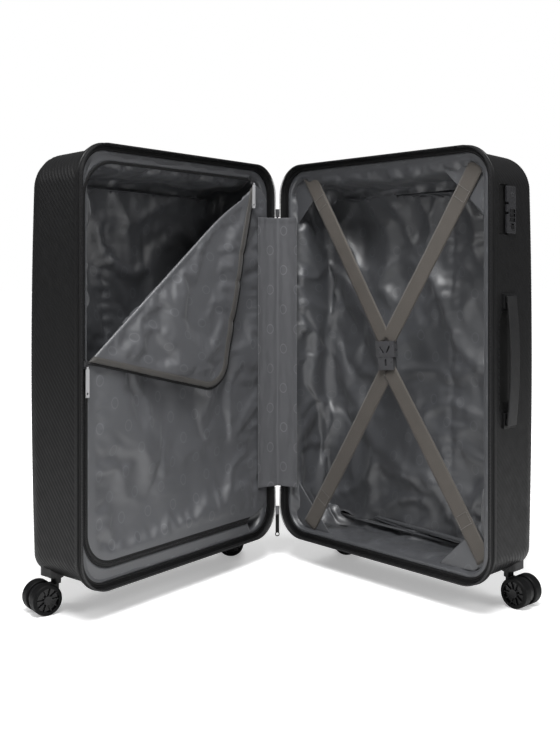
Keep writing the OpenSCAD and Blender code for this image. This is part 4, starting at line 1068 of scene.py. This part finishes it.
for name in WHEELS:
    hub, pin = (sum(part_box(n), Vector()) / 2 for n in (name, f"axle_{name[6:-2]}"))
    axis = (hub - pin).normalized()
    mesh = nodes[name].data
    mesh.materials.append(DISH)
    for face in mesh.polygons:
        way = face.center - hub
        face.material_index = int((way - axis * way.dot(axis)).length < DISH_R * MM)

# ---------------------------------------------------------------- stage and light

floor_bm = bmesh.new()
bmesh.ops.create_grid(floor_bm, x_segments=1, y_segments=1, size=30)
floor_mesh = bpy.data.meshes.new("floor")
floor_bm.to_mesh(floor_mesh)
floor_bm.free()
floor = bpy.data.objects.new("floor", floor_mesh)
bpy.context.scene.collection.objects.link(floor)
PALE = finish("floor_white", (0.9, 0.9, 0.9), 0.6, level=0.2)
seen = PALE.node_tree.nodes.new("ShaderNodeLightPath")
spot = PALE.node_tree.nodes.new("ShaderNodeTexGradient")
spot.gradient_type = "SPHERICAL"
PALE.node_tree.links.new(place_on(PALE, "Object", (0.5, 0.5, 0.5)), spot.inputs["Vector"])
near = ramp(PALE, spot.outputs["Fac"], 0.3, 0.62, 1.0, 0.35)
glow = combine(PALE, seen.outputs["Is Camera Ray"], near)
PALE.node_tree.nodes["Principled BSDF"].inputs["Emission Color"].default_value = (1, 1, 1, 1)
PALE.node_tree.links.new(glow, PALE.node_tree.nodes["Principled BSDF"].inputs["Emission Strength"])
floor_mesh.materials.append(PALE)

world = bpy.data.worlds.new("studio")
bpy.context.scene.world = world
world.use_nodes = True
tree = world.node_tree
tree.nodes.clear()
path = tree.nodes.new("ShaderNodeLightPath")
room, white = tree.nodes.new("ShaderNodeBackground"), tree.nodes.new("ShaderNodeBackground")
room.inputs["Strength"].default_value = 0.15
white.inputs["Strength"].default_value = 1.0
room.inputs["Color"].default_value = white.inputs["Color"].default_value = (1, 1, 1, 1)
mix, out = tree.nodes.new("ShaderNodeMixShader"), tree.nodes.new("ShaderNodeOutputWorld")
tree.links.new(path.outputs["Is Camera Ray"], mix.inputs[0])
tree.links.new(room.outputs[0], mix.inputs[1])
tree.links.new(white.outputs[0], mix.inputs[2])
tree.links.new(mix.outputs[0], out.inputs[0])


def lamp(name, place, aim, size, watts):
    light = bpy.data.lights.new(name, "AREA")
    light.shape = "RECTANGLE"
    light.size, light.size_y = size
    light.energy = watts
    obj = bpy.data.objects.new(name, light)
    bpy.context.scene.collection.objects.link(obj)
    obj.location = place
    obj.rotation_euler = (Vector(aim) - Vector(place)).to_track_quat("-Z", "Y").to_euler()


lamp("top_light", (0.75, -0.75, 2.4), (0, 0, 0.35), (1.1, 1.1), 88)
lamp("left_light", (-0.9, -2.3, 1.9), (0, 0, 0.4), (0.9, 1.2), 15)
lamp("right_light", (2.3, 0.9, 1.9), (0, 0, 0.4), (0.9, 1.2), 20)
lamp("back_light", (-1.5, 1.5, 2.2), (0, 0, 0.4), (1.4, 1.2), 22)
